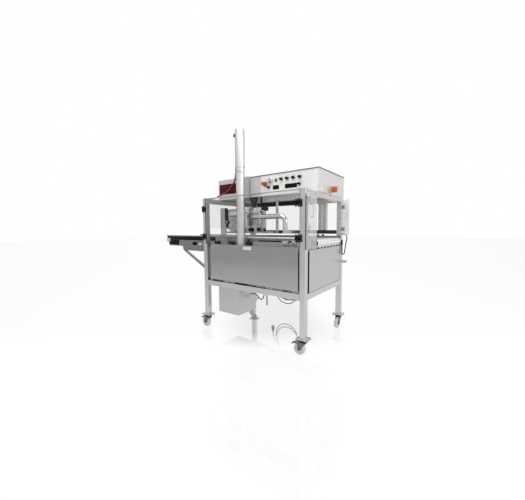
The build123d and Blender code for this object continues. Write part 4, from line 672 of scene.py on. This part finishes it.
wheel_radius = 50
pedal_slope = math.radians(29)
pedal_down = np.array((-math.cos(pedal_slope), 0, -math.sin(pedal_slope)))
pedal_up = np.array((-math.sin(pedal_slope), 0, math.cos(pedal_slope)))
pedal_axes = (-pedal_down, Y, pedal_up)
bolt_places = []
for corner, (post_x, post_y, degrees) in posts.items():
    turn = math.radians(degrees)
    centre = (post_x - caster_trail * math.cos(turn), post_y - caster_trail * math.sin(turn), wheel_radius)
    axle = (math.sin(turn), -math.cos(turn), 0)
    wheel = f"caster_wheel_{corner}"
    piece(f"caster_tyre_{corner}", [turned(tyre_profile, centre, axle, 64)], pale_tyre, wheel, [wheel])
    piece(f"caster_hub_{corner}", [turned(hub_profile, centre, axle, 40)], blue_hub, wheel)
    bolt_places += [(post_x + step_x, post_y + step_y, 144) for step_x in (-40, 40) for step_y in (-30, 30)]
    if corner.startswith("front"):
        pin = np.array((post_x - 62, post_y, 101.7))
        tread = [rounded_box(pin + 29 * pedal_down + 4 * pedal_up, (30, 33, 3.4), 1.4, pedal_axes)]
        tread += [rounded_box(pin + along * pedal_down + 6 * pedal_up, (3, 29, 2.4), 1.0, pedal_axes)
                  for along in (18, 25, 32, 39)]
        piece(f"brake_tread_{corner}", tread, black_plastic, f"caster_brake_{corner}")
nut_places = np.array(bolt_places) - 12 * Z
piece("caster_bolts", [turned(hex_head, bolt_places, Z, 6), turned(hex_nut, nut_places, Z, 6)], screw_steel)

# Caps of the two front posts
cap_skins = [rounded_box((x, front + half_tube, frame_top + 0.4), (49, 49, 1.6), 0.7)
             for x in (left + half_tube, right - half_tube)]
piece("post_caps", cap_skins, black_plastic)

# Control panel
stop = (left + 625, panel_y, box_foot + 109)
collar_profile = [(9.2, 0), (22, 0), (22, 10), (20.5, 13.2), (18, 14), (9.2, 14), (9.2, 0)]
piece("stop_collar", [turned(collar_profile, stop, -Y, 48)], collar_plastic, stands_for=["panel_fittings"])
cap_profile = [(0, 45.6), (8, 46), (12, 46.8), (14.5, 47), (18, 45.2), (19.8, 41.5), (20, 36), (19.6, 30),
               (17.5, 25.5), (13, 22.5), (9, 21.5), (9, 8), (0, 8)]
piece("stop_mushroom", [turned(cap_profile, stop, -Y, 48)], red_plastic, "emergency_stop", ["emergency_stop"])
rocker = np.array((left + 684, panel_y, box_foot + 133))
bezel_x = np.cos(circle(64))
bezel_z = np.sin(circle(64))
outer = np.column_stack([bezel_x, bezel_z])
inner = np.column_stack([12 * np.sign(bezel_x) * np.minimum(1, 1.5 * np.abs(bezel_x)),
                         20.5 * np.sign(bezel_z) * np.minimum(1, 1.25 * np.abs(bezel_z))])
bezel_rows = [(31 * outer, 0), (31 * outer, 9), (29.5 * outer, 12.5), (27 * outer, 14), (1.06 * inner, 14),
              (inner, 13), (inner, 0), (31 * outer, 0)]
bezel_points = [rocker + np.insert(ring, 1, -depth, axis=1) for ring, depth in bezel_rows]
piece("rocker_bezel", [skin(bezel_points, close_cols=True)], polished_steel)
for name, finish, rise, replaced, slot in (
        ("start_half", pale_plastic, 9.8, ["start_stop_rocker"], "rocker_plastic"),
        ("stop_half", red_plastic, -9.8, (), None)):
    half_skin = rounded_box(rocker + (0, -8, rise), (21.6, 9.4, 18.6), 1.6)
    piece(name, [half_skin], finish, "start_stop_rocker", replaced)

# Knobs, their dials and ticks
knob_places = {f"upper_knob_{number}": (x, 137, 17.0) for number, x in enumerate((806, 867, 930, 995), 1)}
knob_places.update({f"lower_knob_{number}": (x, 76, 16.0) for number, x in enumerate((667, 990), 1)})
tick_skins = []
dial_skins = []
for name, (x, rise, radius) in knob_places.items():
    dial = np.array((left + x, panel_y, box_foot + rise))
    seat = dial - 0.3 * Y
    skirt = [(0, 0), (radius, 0), (radius, 2.4), (radius - 1, 3.6), (radius - 5, 4), (0, 4)]
    grip = [(0, 4), (radius - 6, 4), (radius - 6, 27), (radius - 7, 29), (radius - 9, 30), (0, 30)]
    knob_skins = [turned(grip, seat, -Y, 72, 0.03, 18), turned(rod(4, 0, -14), seat, -Y, 16)]
    piece(f"{name}_body", knob_skins, black_plastic, name, [name])
    piece(f"{name}_skirt", [turned(skirt, seat, -Y, 36)], satin_steel, name)
    line = block(dial[0] - 1.6, dial[0] + 1.6, panel_y - 30.2, panel_y - 4.2, dial[2] + 3, dial[2] + radius - 4.2,
                 0.6, 1)
    piece(f"{name}_pointer", [line], white_plastic, name)
    dial_skins.append(turned(hollow(radius + 0.6, radius + 8, 0.3, 0.9), dial, -Y, 40))
    for number, angle in enumerate(np.radians(np.linspace(-135, 135, 11))):
        spread = np.array((math.sin(angle), 0, math.cos(angle)))
        tick = 4.6 if number % 5 == 0 else 3.0
        tick_skins.append(rounded_box(dial - Y + spread * (radius + 2 + tick / 2), (0.8, 0.4, tick), 0.1,
                                      (np.cross(spread, Y), Y, spread), 1))
piece("dial_rings", dial_skins, white_plastic)
piece("dial_ticks", tick_skins, black_plastic)

# Displays with plain numbers of seven strokes each; a stroke is its side, its height and whether it lies level
strokes = {"a": (0, 2, True), "b": (1, 1.5, False), "c": (1, 0.5, False), "d": (0, 0, True), "e": (-1, 0.5, False),
           "f": (-1, 1.5, False), "g": (0, 1, True)}
number_strokes = {"0": "abcdef", "1": "bc", "2": "abged", "3": "abgcd"}
size = 12.0
display_skins = []
digit_skins = []
for x0, x1, text in ((712, 778, "30"), (843, 966, "3210")):
    display_skins.append(block(left + x0, left + x1, panel_y - 3, panel_y, box_foot + 50, box_foot + 88))
    for place, figure in enumerate(text):
        figure_x = left + (x0 + x1) / 2 + (place - (len(text) - 1) / 2) * 1.5 * size
        for stroke in number_strokes[figure]:
            side, height, level = strokes[stroke]
            wide, tall = (0.7, 0.14) if level else (0.14, 0.76)
            centre = (figure_x + side * 0.42 * size, panel_y - 3, box_foot + 58.5 + height * size * 0.84)
            digit_skins.append(rounded_box(centre, (wide * size, 0.5, tall * size), 0.12, steps=1))
piece("display_windows", display_skins, display_glass)
piece("display_numbers", digit_skins, digit_red)

# Isolator, and inlet of the mains cord
isolator = np.array((right, panel_y + 250, box_foot + 37))
handle_profile = [(0, 61), (20, 61), (25, 59.5), (27, 56), (27, 20), (26, 17), (4, 16.3), (4, -14), (0, -14)]
piece("isolator_handle", [turned(handle_profile, isolator, X, 48, 0.02, 12)], dark_red_plastic, "isolator_switch",
      ["isolator_switch"])
# a grip on the handle's end, its pale pink a painted highlight
piece("isolator_grip_with_painted_highlight", [rounded_box(isolator + 65 * X, (14, 16, 46), 4.0)], grip_painted_highlight, "isolator_switch")
gland_profile = [(0, 0), (15, 0), (15, 5), (11, 6), (11, 9), (10, 10), (9.6, 13), (8.6, 14), (8.4, 17), (7.4, 18),
                 (7.2, 21), (6.4, 22), (6.2, gland_long), (0, gland_long)]
inlet = [block(inlet_x, inlet_x + 70, back - 20, back + 30, hook_z + 24, hook_z + 84, 4.0),
         turned(gland_profile, (inlet_x, mains_y, gland_z), -X, 24)]
piece("mains_inlet", inlet, black_plastic)

# Cover of the pump's motor, a shell with a rounded top and a bored floor, the cable's terminal and a screw
column = np.array((column_x, column_y, 0))
cover_profile = [(0, cover_top), (32, cover_top), (39.5, cover_top - 2), (43.5, cover_top - 6.5),
                 (cover_radius, cover_top - 14), (cover_radius, cover_foot + 8), (44.5, cover_foot + 7),
                 (44.5, cover_foot + 5), (cover_radius, cover_foot + 4), (cover_radius, cover_foot + 0.6),
                 (44.8, cover_foot), (7.3, cover_foot), (7.3, cover_foot + 4), (42, cover_foot + 4),
                 (42, cover_top - 14), (37.5, cover_top - 5), (0, cover_top - 3)]
piece("pump_cover_shell", [turned(cover_profile, column, Z, 72)], column_steel, stands_for=["pump_cover"])
terminal_x = column_x - cover_radius
terminal = [block(terminal_x - 24, terminal_x + 4, column_y - 15, column_y + 15, terminal_foot, terminal_foot + 30,
                  4.0, 3),
            turned([(0, 0), (9, 0), (9, 7), (7, 9), (0, 9)], (terminal_x - 24, column_y, terminal_foot + 15), -X, 20)]
piece("pump_terminal", terminal, dark_seal_and_painted_shade)
screw_way = np.array((math.sin(0.25), -math.cos(0.25), 0))
cover_screws = [(left + 405, front + 55, 436), column + 45.3 * screw_way + (cover_foot + 14) * Z]


# Bearings of the rollers, and the black blocks at the tie bars
def bearings(places):
    """Round-edged bearing blocks with domed caps, outside both side plates, each at an x, a level and a length."""
    made = []
    for x, z, length in places:
        for face, side in ((near_y, -1), (far_y, 1)):
            made.append(rounded_box((x, face + side * 9, z), (length, 18, 44), 3.0))
            made.append(turned([(0, 4), (8, 3.6), (13, 2), (15, 0), (15, -2), (0, -2)], (x, face + side * 18, z),
                               side * Y, 28))
    return made


tie_bars = [(left + x, belt_top - 62, 64) for x in (-3, 208, 446)] + [(right - 23, 904, 44)]
piece("tie_bar_blocks", bearings(tie_bars), black_plastic, stands_for=["shaft_bearings"])
rollers = [(nose_x, 896, 64), (drive_x, 896, 64), (right - 210, 904, 44)]
piece("roller_bearing_blocks", bearings(rollers), box_steel)

# Coating head: rim and bolts of the blower, bellows of its air supply, clamp knobs
bar_y = front + 227
knob_y = front + 239
blower_x0 = left + 386
blower_x1 = blower_x0 + 186
blower_foot = plates_top + 50
blower_top = blower_foot + 198
rim_inset = 9.0
rim_round = 24.0
rim_x0 = blower_x0 + rim_inset + rim_round
rim_x1 = blower_x1 - rim_inset - rim_round
rim_z0 = blower_foot + 42 + rim_round
rim_z1 = blower_top - rim_inset - rim_round
rim_angle = (np.linspace(0, math.pi / 2, 9) + np.arange(4)[:, None] * math.pi / 2).ravel()
rim_x, rim_z = (np.repeat(corner, 9) for corner in ((rim_x1, rim_x0, rim_x0, rim_x1),
                                                    (rim_z1, rim_z1, rim_z0, rim_z0)))
rim_path = np.column_stack([rim_x + rim_round * np.cos(rim_angle), np.full(len(rim_angle), bar_y),
                            rim_z + rim_round * np.sin(rim_angle)])
piece("blower_rim", [swept(rim_path, 4.0, Y, 10, closed=True)], bright_steel)
blower_bolts = [(blower_x0 + 16 + step * 51.3, bar_y, blower_foot + 32) for step in range(4)]
blower_bolts += [(blower_x0 + 40, bar_y, blower_top - 24), (blower_x0 + 24, bar_y, blower_top - 40)]
plenum_top = blower_top + 35
plenum_y = bar_y + 30
fold = np.linspace(0, 1, 49)
fold_radius = 16.5 + 27 * fold + 1.6 * np.cos(16 * math.pi * fold)
folds = np.column_stack([fold_radius, plenum_top + fold * (frame_top - plenum_top)])
bellows = np.concatenate([[(0, plenum_top)], folds, [(0, frame_top)]])
clamp_profile = [(0, 30.3), (13, 30), (18, 28.5), (20, 25), (20, 14), (17, 8.2), (4, 8), (4, -21), (0, -21)]
for number, knob_x in enumerate((454, 562), 1):
    name = f"clamp_knob_{number}"
    clamp_place = (left + knob_x, bar_y, blower_foot + 17)
    piece(f"clamp_knob_grip_{number}", [turned(clamp_profile, clamp_place, -Y, 48, 0.04, 7)], black_plastic, name,
          [name])

# Knob of the infeed
knob_profile = [(0, 24), (13, 24), (18, 22.5), (20, 19), (20, 4), (17, 0.3), (4, 0.3), (4, -14), (0, -14)]
piece("infeed_knob_grip", [turned(knob_profile, (left - 388, near_y, 861), -Y, 72, 0.03, 18)], black_plastic,
      "infeed_knob", ["infeed_knob"])

# Plain turned pieces: finish, profile, places, axis, sides, and how much and how often the radius waves
turned_pieces = {
    "fixed_hinge_screws": (screw_steel, screw_head, fixed_screws, fixed_axes, 10),
    "caster_swivel_seals": (
        black_plastic,
        [(27.2, 110.5), (30, 111), (31, 116), (31, 126), (29, 131.5), (27.2, 131.5), (27.2, 110.5)],
        [(post_x, post_y, 0) for post_x, post_y, _ in posts.values()], Z, 36),
    "run_lamp": (lamp_lens, [(0, 12), (6, 11.7), (10.5, 10.5), (13, 8), (13, 5), (16, 5), (16, 0), (0, 0)],
                 (left + 746, panel_y, box_foot + 134), -Y, 36),
    "isolator_base": (olive_plastic, [(0, 16), (31, 16), (34, 14.5), (35, 11), (35, 0), (0, 0)], isolator, X, 56),
    "isolator_ring": (white_plastic, [(27.5, 14), (32, 14), (32, 16.2), (27.5, 16.8), (27.5, 14)], isolator, X, 56),
    "rail_side_plug": (black_plastic, [(0, 3), (4, 2.6), (5.5, 1), (5.5, 0), (0, 0)],
                       (right, panel_y + 256, frame_top - 12), X, 24),
    "column_band": (satin_steel, [(41.6, -9), (43.4, -8), (43.4, 8), (41.6, 9), (41.6, -9)],
                    column + (frame_top + 236) * Z, Z, 72),
    "cover_screws": (screw_steel, screw_head, cover_screws, [-Y, screw_way], 10),
    "hopper_knob": (
        black_plastic, [(0, 18.4), (12, 18.2), (17, 17), (19.2, 13), (19.4, 8), (19.4, 2), (17, 0), (0, 0)],
        (left + 108, knob_y, plates_top + 145), -Y, 48, 0.03, 8),
    "blower_bolts": (screw_steel, screw_head, blower_bolts, -Y, 10),
    "air_bellows_cover": (rubber_and_painted_shade, bellows, (left + 468, plenum_y, 0), Z, 40),
    "plenum_stay_sleeve": (rubber_and_painted_shade, hollow(7.2, 9, plenum_top, frame_top - 0.2), (left + 559, plenum_y, 0), Z, 24),
    "guard_tube_sleeve": (bright_steel, rod(10.4, 0, 547.6), (left + 426.7, near_y - 10, belt_top + 2), X, 28),
}
for name, (finish, *form) in turned_pieces.items():
    piece(name, [turned(*form)], finish)

# Plain boxes, such as windows, plates and strips, among them dark strips of painted shade and pale plates of painted
# light: x, y and z from and to, radius of the edges and steps
sign_x0 = left + 20
sign_x1 = left + 358
sign_z0 = box_foot + 60
sign_z1 = box_foot + 155
sign_y = panel_y - 3.6
edge = 4.0
belt_near = near_y + side_plate
boxes = {
    "control_overlay": (overlay_print, [
        (left + 575, right - 3, panel_y - 0.5, panel_y + 0.2, box_foot + 4, box_foot + 188, 0.2, 1)]),
    "sign_window": (sign_glass, [(sign_x0, sign_x1, panel_y - 3, panel_y, sign_z0, sign_z1)]),
    "sign_frame": (black_plastic, [
        (sign_x0 - edge, sign_x1 + edge, sign_y, panel_y, sign_z1, sign_z1 + edge, 0.8),
        (sign_x0 - edge, sign_x1 + edge, sign_y, panel_y, sign_z0 - edge, sign_z0, 0.8),
        (sign_x0 - edge, sign_x0, sign_y, panel_y, sign_z0, sign_z1, 0.8),
        (sign_x1, sign_x1 + edge, sign_y, panel_y, sign_z0, sign_z1, 0.8)]),
    "blank_side_plate": (white_plastic, [
        (right, right + 1.5, panel_y + 27, panel_y + 110, box_foot + 10, box_foot + 34, 0.6)]),
    "door_switch": (black_plastic, [(right, right + 14, back - 50, back - 34, switch_foot, switch_foot + 50, 2.0)]),
    "blank_sticker": (white_plastic, [(left + 518, left + 613, front + 19.2, front + 20.2, 838, 867, 0.2, 1)]),
    # painted shade: dark strips down the hopper's upright where it lies in shadow
    "hopper_edge_seal": (rubber_and_painted_shade, [
        (left + 80, left + 93, knob_y - 1, knob_y, plates_top + 160, plates_top + 298, 0.4),
        (left + 93, left + 116, knob_y - 1, knob_y + 8, plates_top + 90, plates_top + 298, 0.4)]),
    "plenum_cap": (rubber_and_painted_shade, [
        (left + 576, left + 624, bar_y - 3, bar_y + 63, blower_top + 0.6, plenum_top + 3, 9.0, 4)]),
    "infeed_side_strips": (black_plastic, [
        (left - 914, left - 40, near_y - 4, near_y, 898, 943, 1.2),
        (left - 884, left - 690, near_y - 3, near_y, 838, 896, 1.2),
        (left - 914, left - 40, far_y, far_y + 4, 898, 943, 1.2)]),
    # painted shade: a dark strip on the back top rail, which lies in shadow under the top plate
    "back_rail_seal": (rubber_and_painted_shade, [(left + 110, left + 705, back - 53, back - 50, frame_top - 45, frame_top - 3)]),
    # painted shade: dark strips in the slit under the front panel, where it lies in shadow
    "tank_front_seals": (rubber_and_painted_shade, [
        (left + x0, left + x1, front + 52, front + 62, 505.2, 519.6)
        for x0, x1 in ((62, 246), (388, 742), (928, 1020))]),
    # painted light: white pads where the slit shows the bright floor beyond
    "tank_front_pads": (white_plastic, [
        (left + x0, left + x1, front + 50, front + 62, 505.2, 519.4)
        for x0, x1 in ((250, 384), (746, 924), (1024, 1106))]),
    # painted shade: dark strips in the gap beside the right lower panel
    "right_panel_seal": (rubber_and_painted_shade, [
        (right - 34, right - 14, front + 50, front + 75.5, 508, 845),
        (right, right + 1.2, front + 46, front + 72, 508, 845, 0.5)]),
    # painted shade: a dark strip in the gap between the near end door and its post
    "near_door_seal": (dark_seal_and_painted_shade, [(right - 2, right + 3, front - 1.5, front + 8, 864, 1290, 1.2)]),
    "takeoff_scraper": (white_plastic, [(right - 9, right + 0.5, belt_near, belt_near + belt_room, 860, 876)]),
    "takeoff_scraper_teeth": (rubber_and_painted_shade, [
        (right - 8, right + 2, y - 21, y + 21, 859, 871) for y in np.linspace(belt_near + 26, belt_near + 518, 8)]),
    "right_panel_lip": (satin_steel, [(right, right + 1.0, front + 74, back - 52, 822, 857, 0.4, 1)]),
    "far_plate_clips": (black_plastic, [
        (left + x - 13, left + x + 13, far_y - 8, far_y + 2, plates_top, plates_top + 13, 2.0)
        for x in (928, 984)]),
    # painted light: a white plate where the infeed's side plate shows a bright patch
    "infeed_slot_plate": (white_plastic, [(left - 314, left - 264, near_y - 3, near_y, 846, 868, 6.0, 4)]),
    # painted light: a lighter steel sheet on the near conveyor plate, where it reads lighter
    "near_plate_facing": (box_steel, [(left + 485, right - 53, near_y - 0.8, near_y, 859, 905, 0.3, 1)]),
    # painted shade: a dark strip on the near plate under the guard tube
    "near_plate_strip": (rubber_and_painted_shade, [(left + 553, right - 200, near_y - 3, near_y, 906, 918)]),
    # painted shade: dark strips down the front posts, in the gaps at the doors' edges
    "post_edge_strips": (dark_seal_and_painted_shade, [
        (x0, x1, front - 0.8, front + 0.2, 880, frame_top - 1, 0.3, 1)
        for x0, x1 in ((right - 50.6, right - 47), (left + 38, left + 50.6))]),
    # painted shade: a dark sheet on the back middle rail, which lies in shadow
    "back_mid_rail_facing": (dark_seal_and_painted_shade, [(left + 210, right - 52, back - 51.2, back - 50, 974, 1010, 0.4, 1)]),
}
for name, (finish, corners) in boxes.items():
    piece(name, [block(*corner) for corner in corners], finish)

# Floor: white to the eye, with a mirror image that fades away from the machine, and pale grey to the light
floor_mesh = bpy.data.meshes.new("floor")
floor_mesh.from_pydata([(-30, -30, 0), (30, -30, 0), (30, 30, 0), (-30, 30, 0)], [], [(0, 1, 2, 3)])
floor = bpy.data.objects.new("floor", floor_mesh)
bpy.context.scene.collection.objects.link(floor)
front_left_way = (-0.59, -0.8, 0.0)
floor_finish, shader, place = new_finish("pale_floor")
tree = floor_finish.node_tree
tree.nodes.remove(shader)
seen = tree.nodes.new("ShaderNodeLightPath").outputs
direct = maths("MAXIMUM", seen["Is Camera Ray"], seen["Is Transmission Ray"])
shown = maths("MAXIMUM", direct, seen["Is Glossy Ray"])
fade = ramp(along_way(place, front_left_way), 0.0, 7.0, 0.76, 0.36)
mirrored = maths("MULTIPLY", seen["Is Glossy Ray"], fade)
glow = maths("MAXIMUM", maths("MULTIPLY", direct, 1.06), mirrored)
white = added("Emission", {"Color": (1, 1, 1, 1), "Strength": glow}).outputs[0]
matt = added("BsdfDiffuse", {"Color": (0.8, 0.8, 0.8, 1)}, tree).outputs[0]
mirror = added("BsdfGlossy", {"Roughness": 0.05}, tree).outputs[0]
lit = added("MixShader", {0: maths("MULTIPLY", shown, 0.88), 1: matt, 2: white}).outputs[0]
near_share = ramp(along_way(place, (0.5925, -0.8056, 0)), 0.4, 0.75, 1.0, 0.1)
off_middle = maths("ABSOLUTE", maths("SUBTRACT", along_way(place, (0.8056, 0.5925, 0)), 0.35))
side_share = ramp(off_middle, 0.28, 0.6, 1.0, 0.2)
polish = maths("MULTIPLY", maths("MULTIPLY", near_share, side_share), 0.78)
shine = maths("MULTIPLY", seen["Is Camera Ray"], polish)
floor_look = added("MixShader", {0: shine, 1: lit, 2: mirror}).outputs[0]
plug(tree.nodes["Material Output"], {"Surface": floor_look})
floor_mesh.materials.append(floor_finish)

# World: white, and dimmer as a light from the front left and from the right
scene = bpy.context.scene
scene.view_settings.view_transform = "Standard"
world = bpy.data.worlds.new("studio")
scene.world = world
world.use_nodes = True
tree = world.node_tree
direction = tree.nodes.new("ShaderNodeTexCoord").outputs["Generated"]
left_light = ramp(along_way(direction, front_left_way), 0.1, 0.9, 1.0, 0.66)
right_light = ramp(along_way(direction, (0.8, 0.6, 0.0)), 0.2, 0.9, 1.0, 0.75)
seen = tree.nodes.new("ShaderNodeLightPath").outputs
direct = maths("MAXIMUM", seen["Is Camera Ray"], seen["Is Transmission Ray"])
level = maths("MAXIMUM", maths("MULTIPLY", left_light, right_light), direct)
plug(tree.nodes["Background"], {"Color": (1, 1, 1, 1), "Strength": level})


# Lamps and camera, in metres
def soft_lamp(name, place, aim, size, power):
    """A large soft lamp that looks at a point."""
    data = bpy.data.lights.new(name, "AREA")
    data.shape = "SQUARE"
    data.size = size
    data.energy = power
    lamp = bpy.data.objects.new(name, data)
    lamp.location = place
    away = np.subtract(place, aim)
    away /= np.linalg.norm(away)
    lamp.rotation_euler = Matrix(np.column_stack([*square_to(away), away]).tolist()).to_euler()
    scene.collection.objects.link(lamp)


soft_lamp("top_lamp", (0.6, -1.0, 4.2), (0.2, 0, 0.9), 2.5, 60)
soft_lamp("right_lamp", (4.2, 0.4, 2.4), (0.4, 0, 0.9), 2.2, 32)

sensor = 36
picture_width = 525
focus_in_pixels = 265.611
yaw, pitch, roll = 0.634053, 0.0814456, 0.00683156
camera_data = bpy.data.cameras.new("camera")
camera_data.lens = focus_in_pixels / picture_width * sensor
camera_data.sensor_width = sensor
camera = bpy.data.objects.new("camera", camera_data)
ahead = np.array((-math.sin(yaw) * math.cos(pitch), math.cos(yaw) * math.cos(pitch), -math.sin(pitch)))
level_right = np.array((math.cos(yaw), math.sin(yaw), 0))
level_down = np.cross(ahead, level_right)
camera_right = math.cos(roll) * level_right + math.sin(roll) * level_down
camera_down = -math.sin(roll) * level_right + math.cos(roll) * level_down
camera_turn = Matrix(np.column_stack([camera_right, -camera_down, -ahead]).tolist())
camera.matrix_world = Matrix.Translation((1.9475, -2.2714, 1.0346)) @ camera_turn.to_4x4()
scene.collection.objects.link(camera)
scene.camera = camera
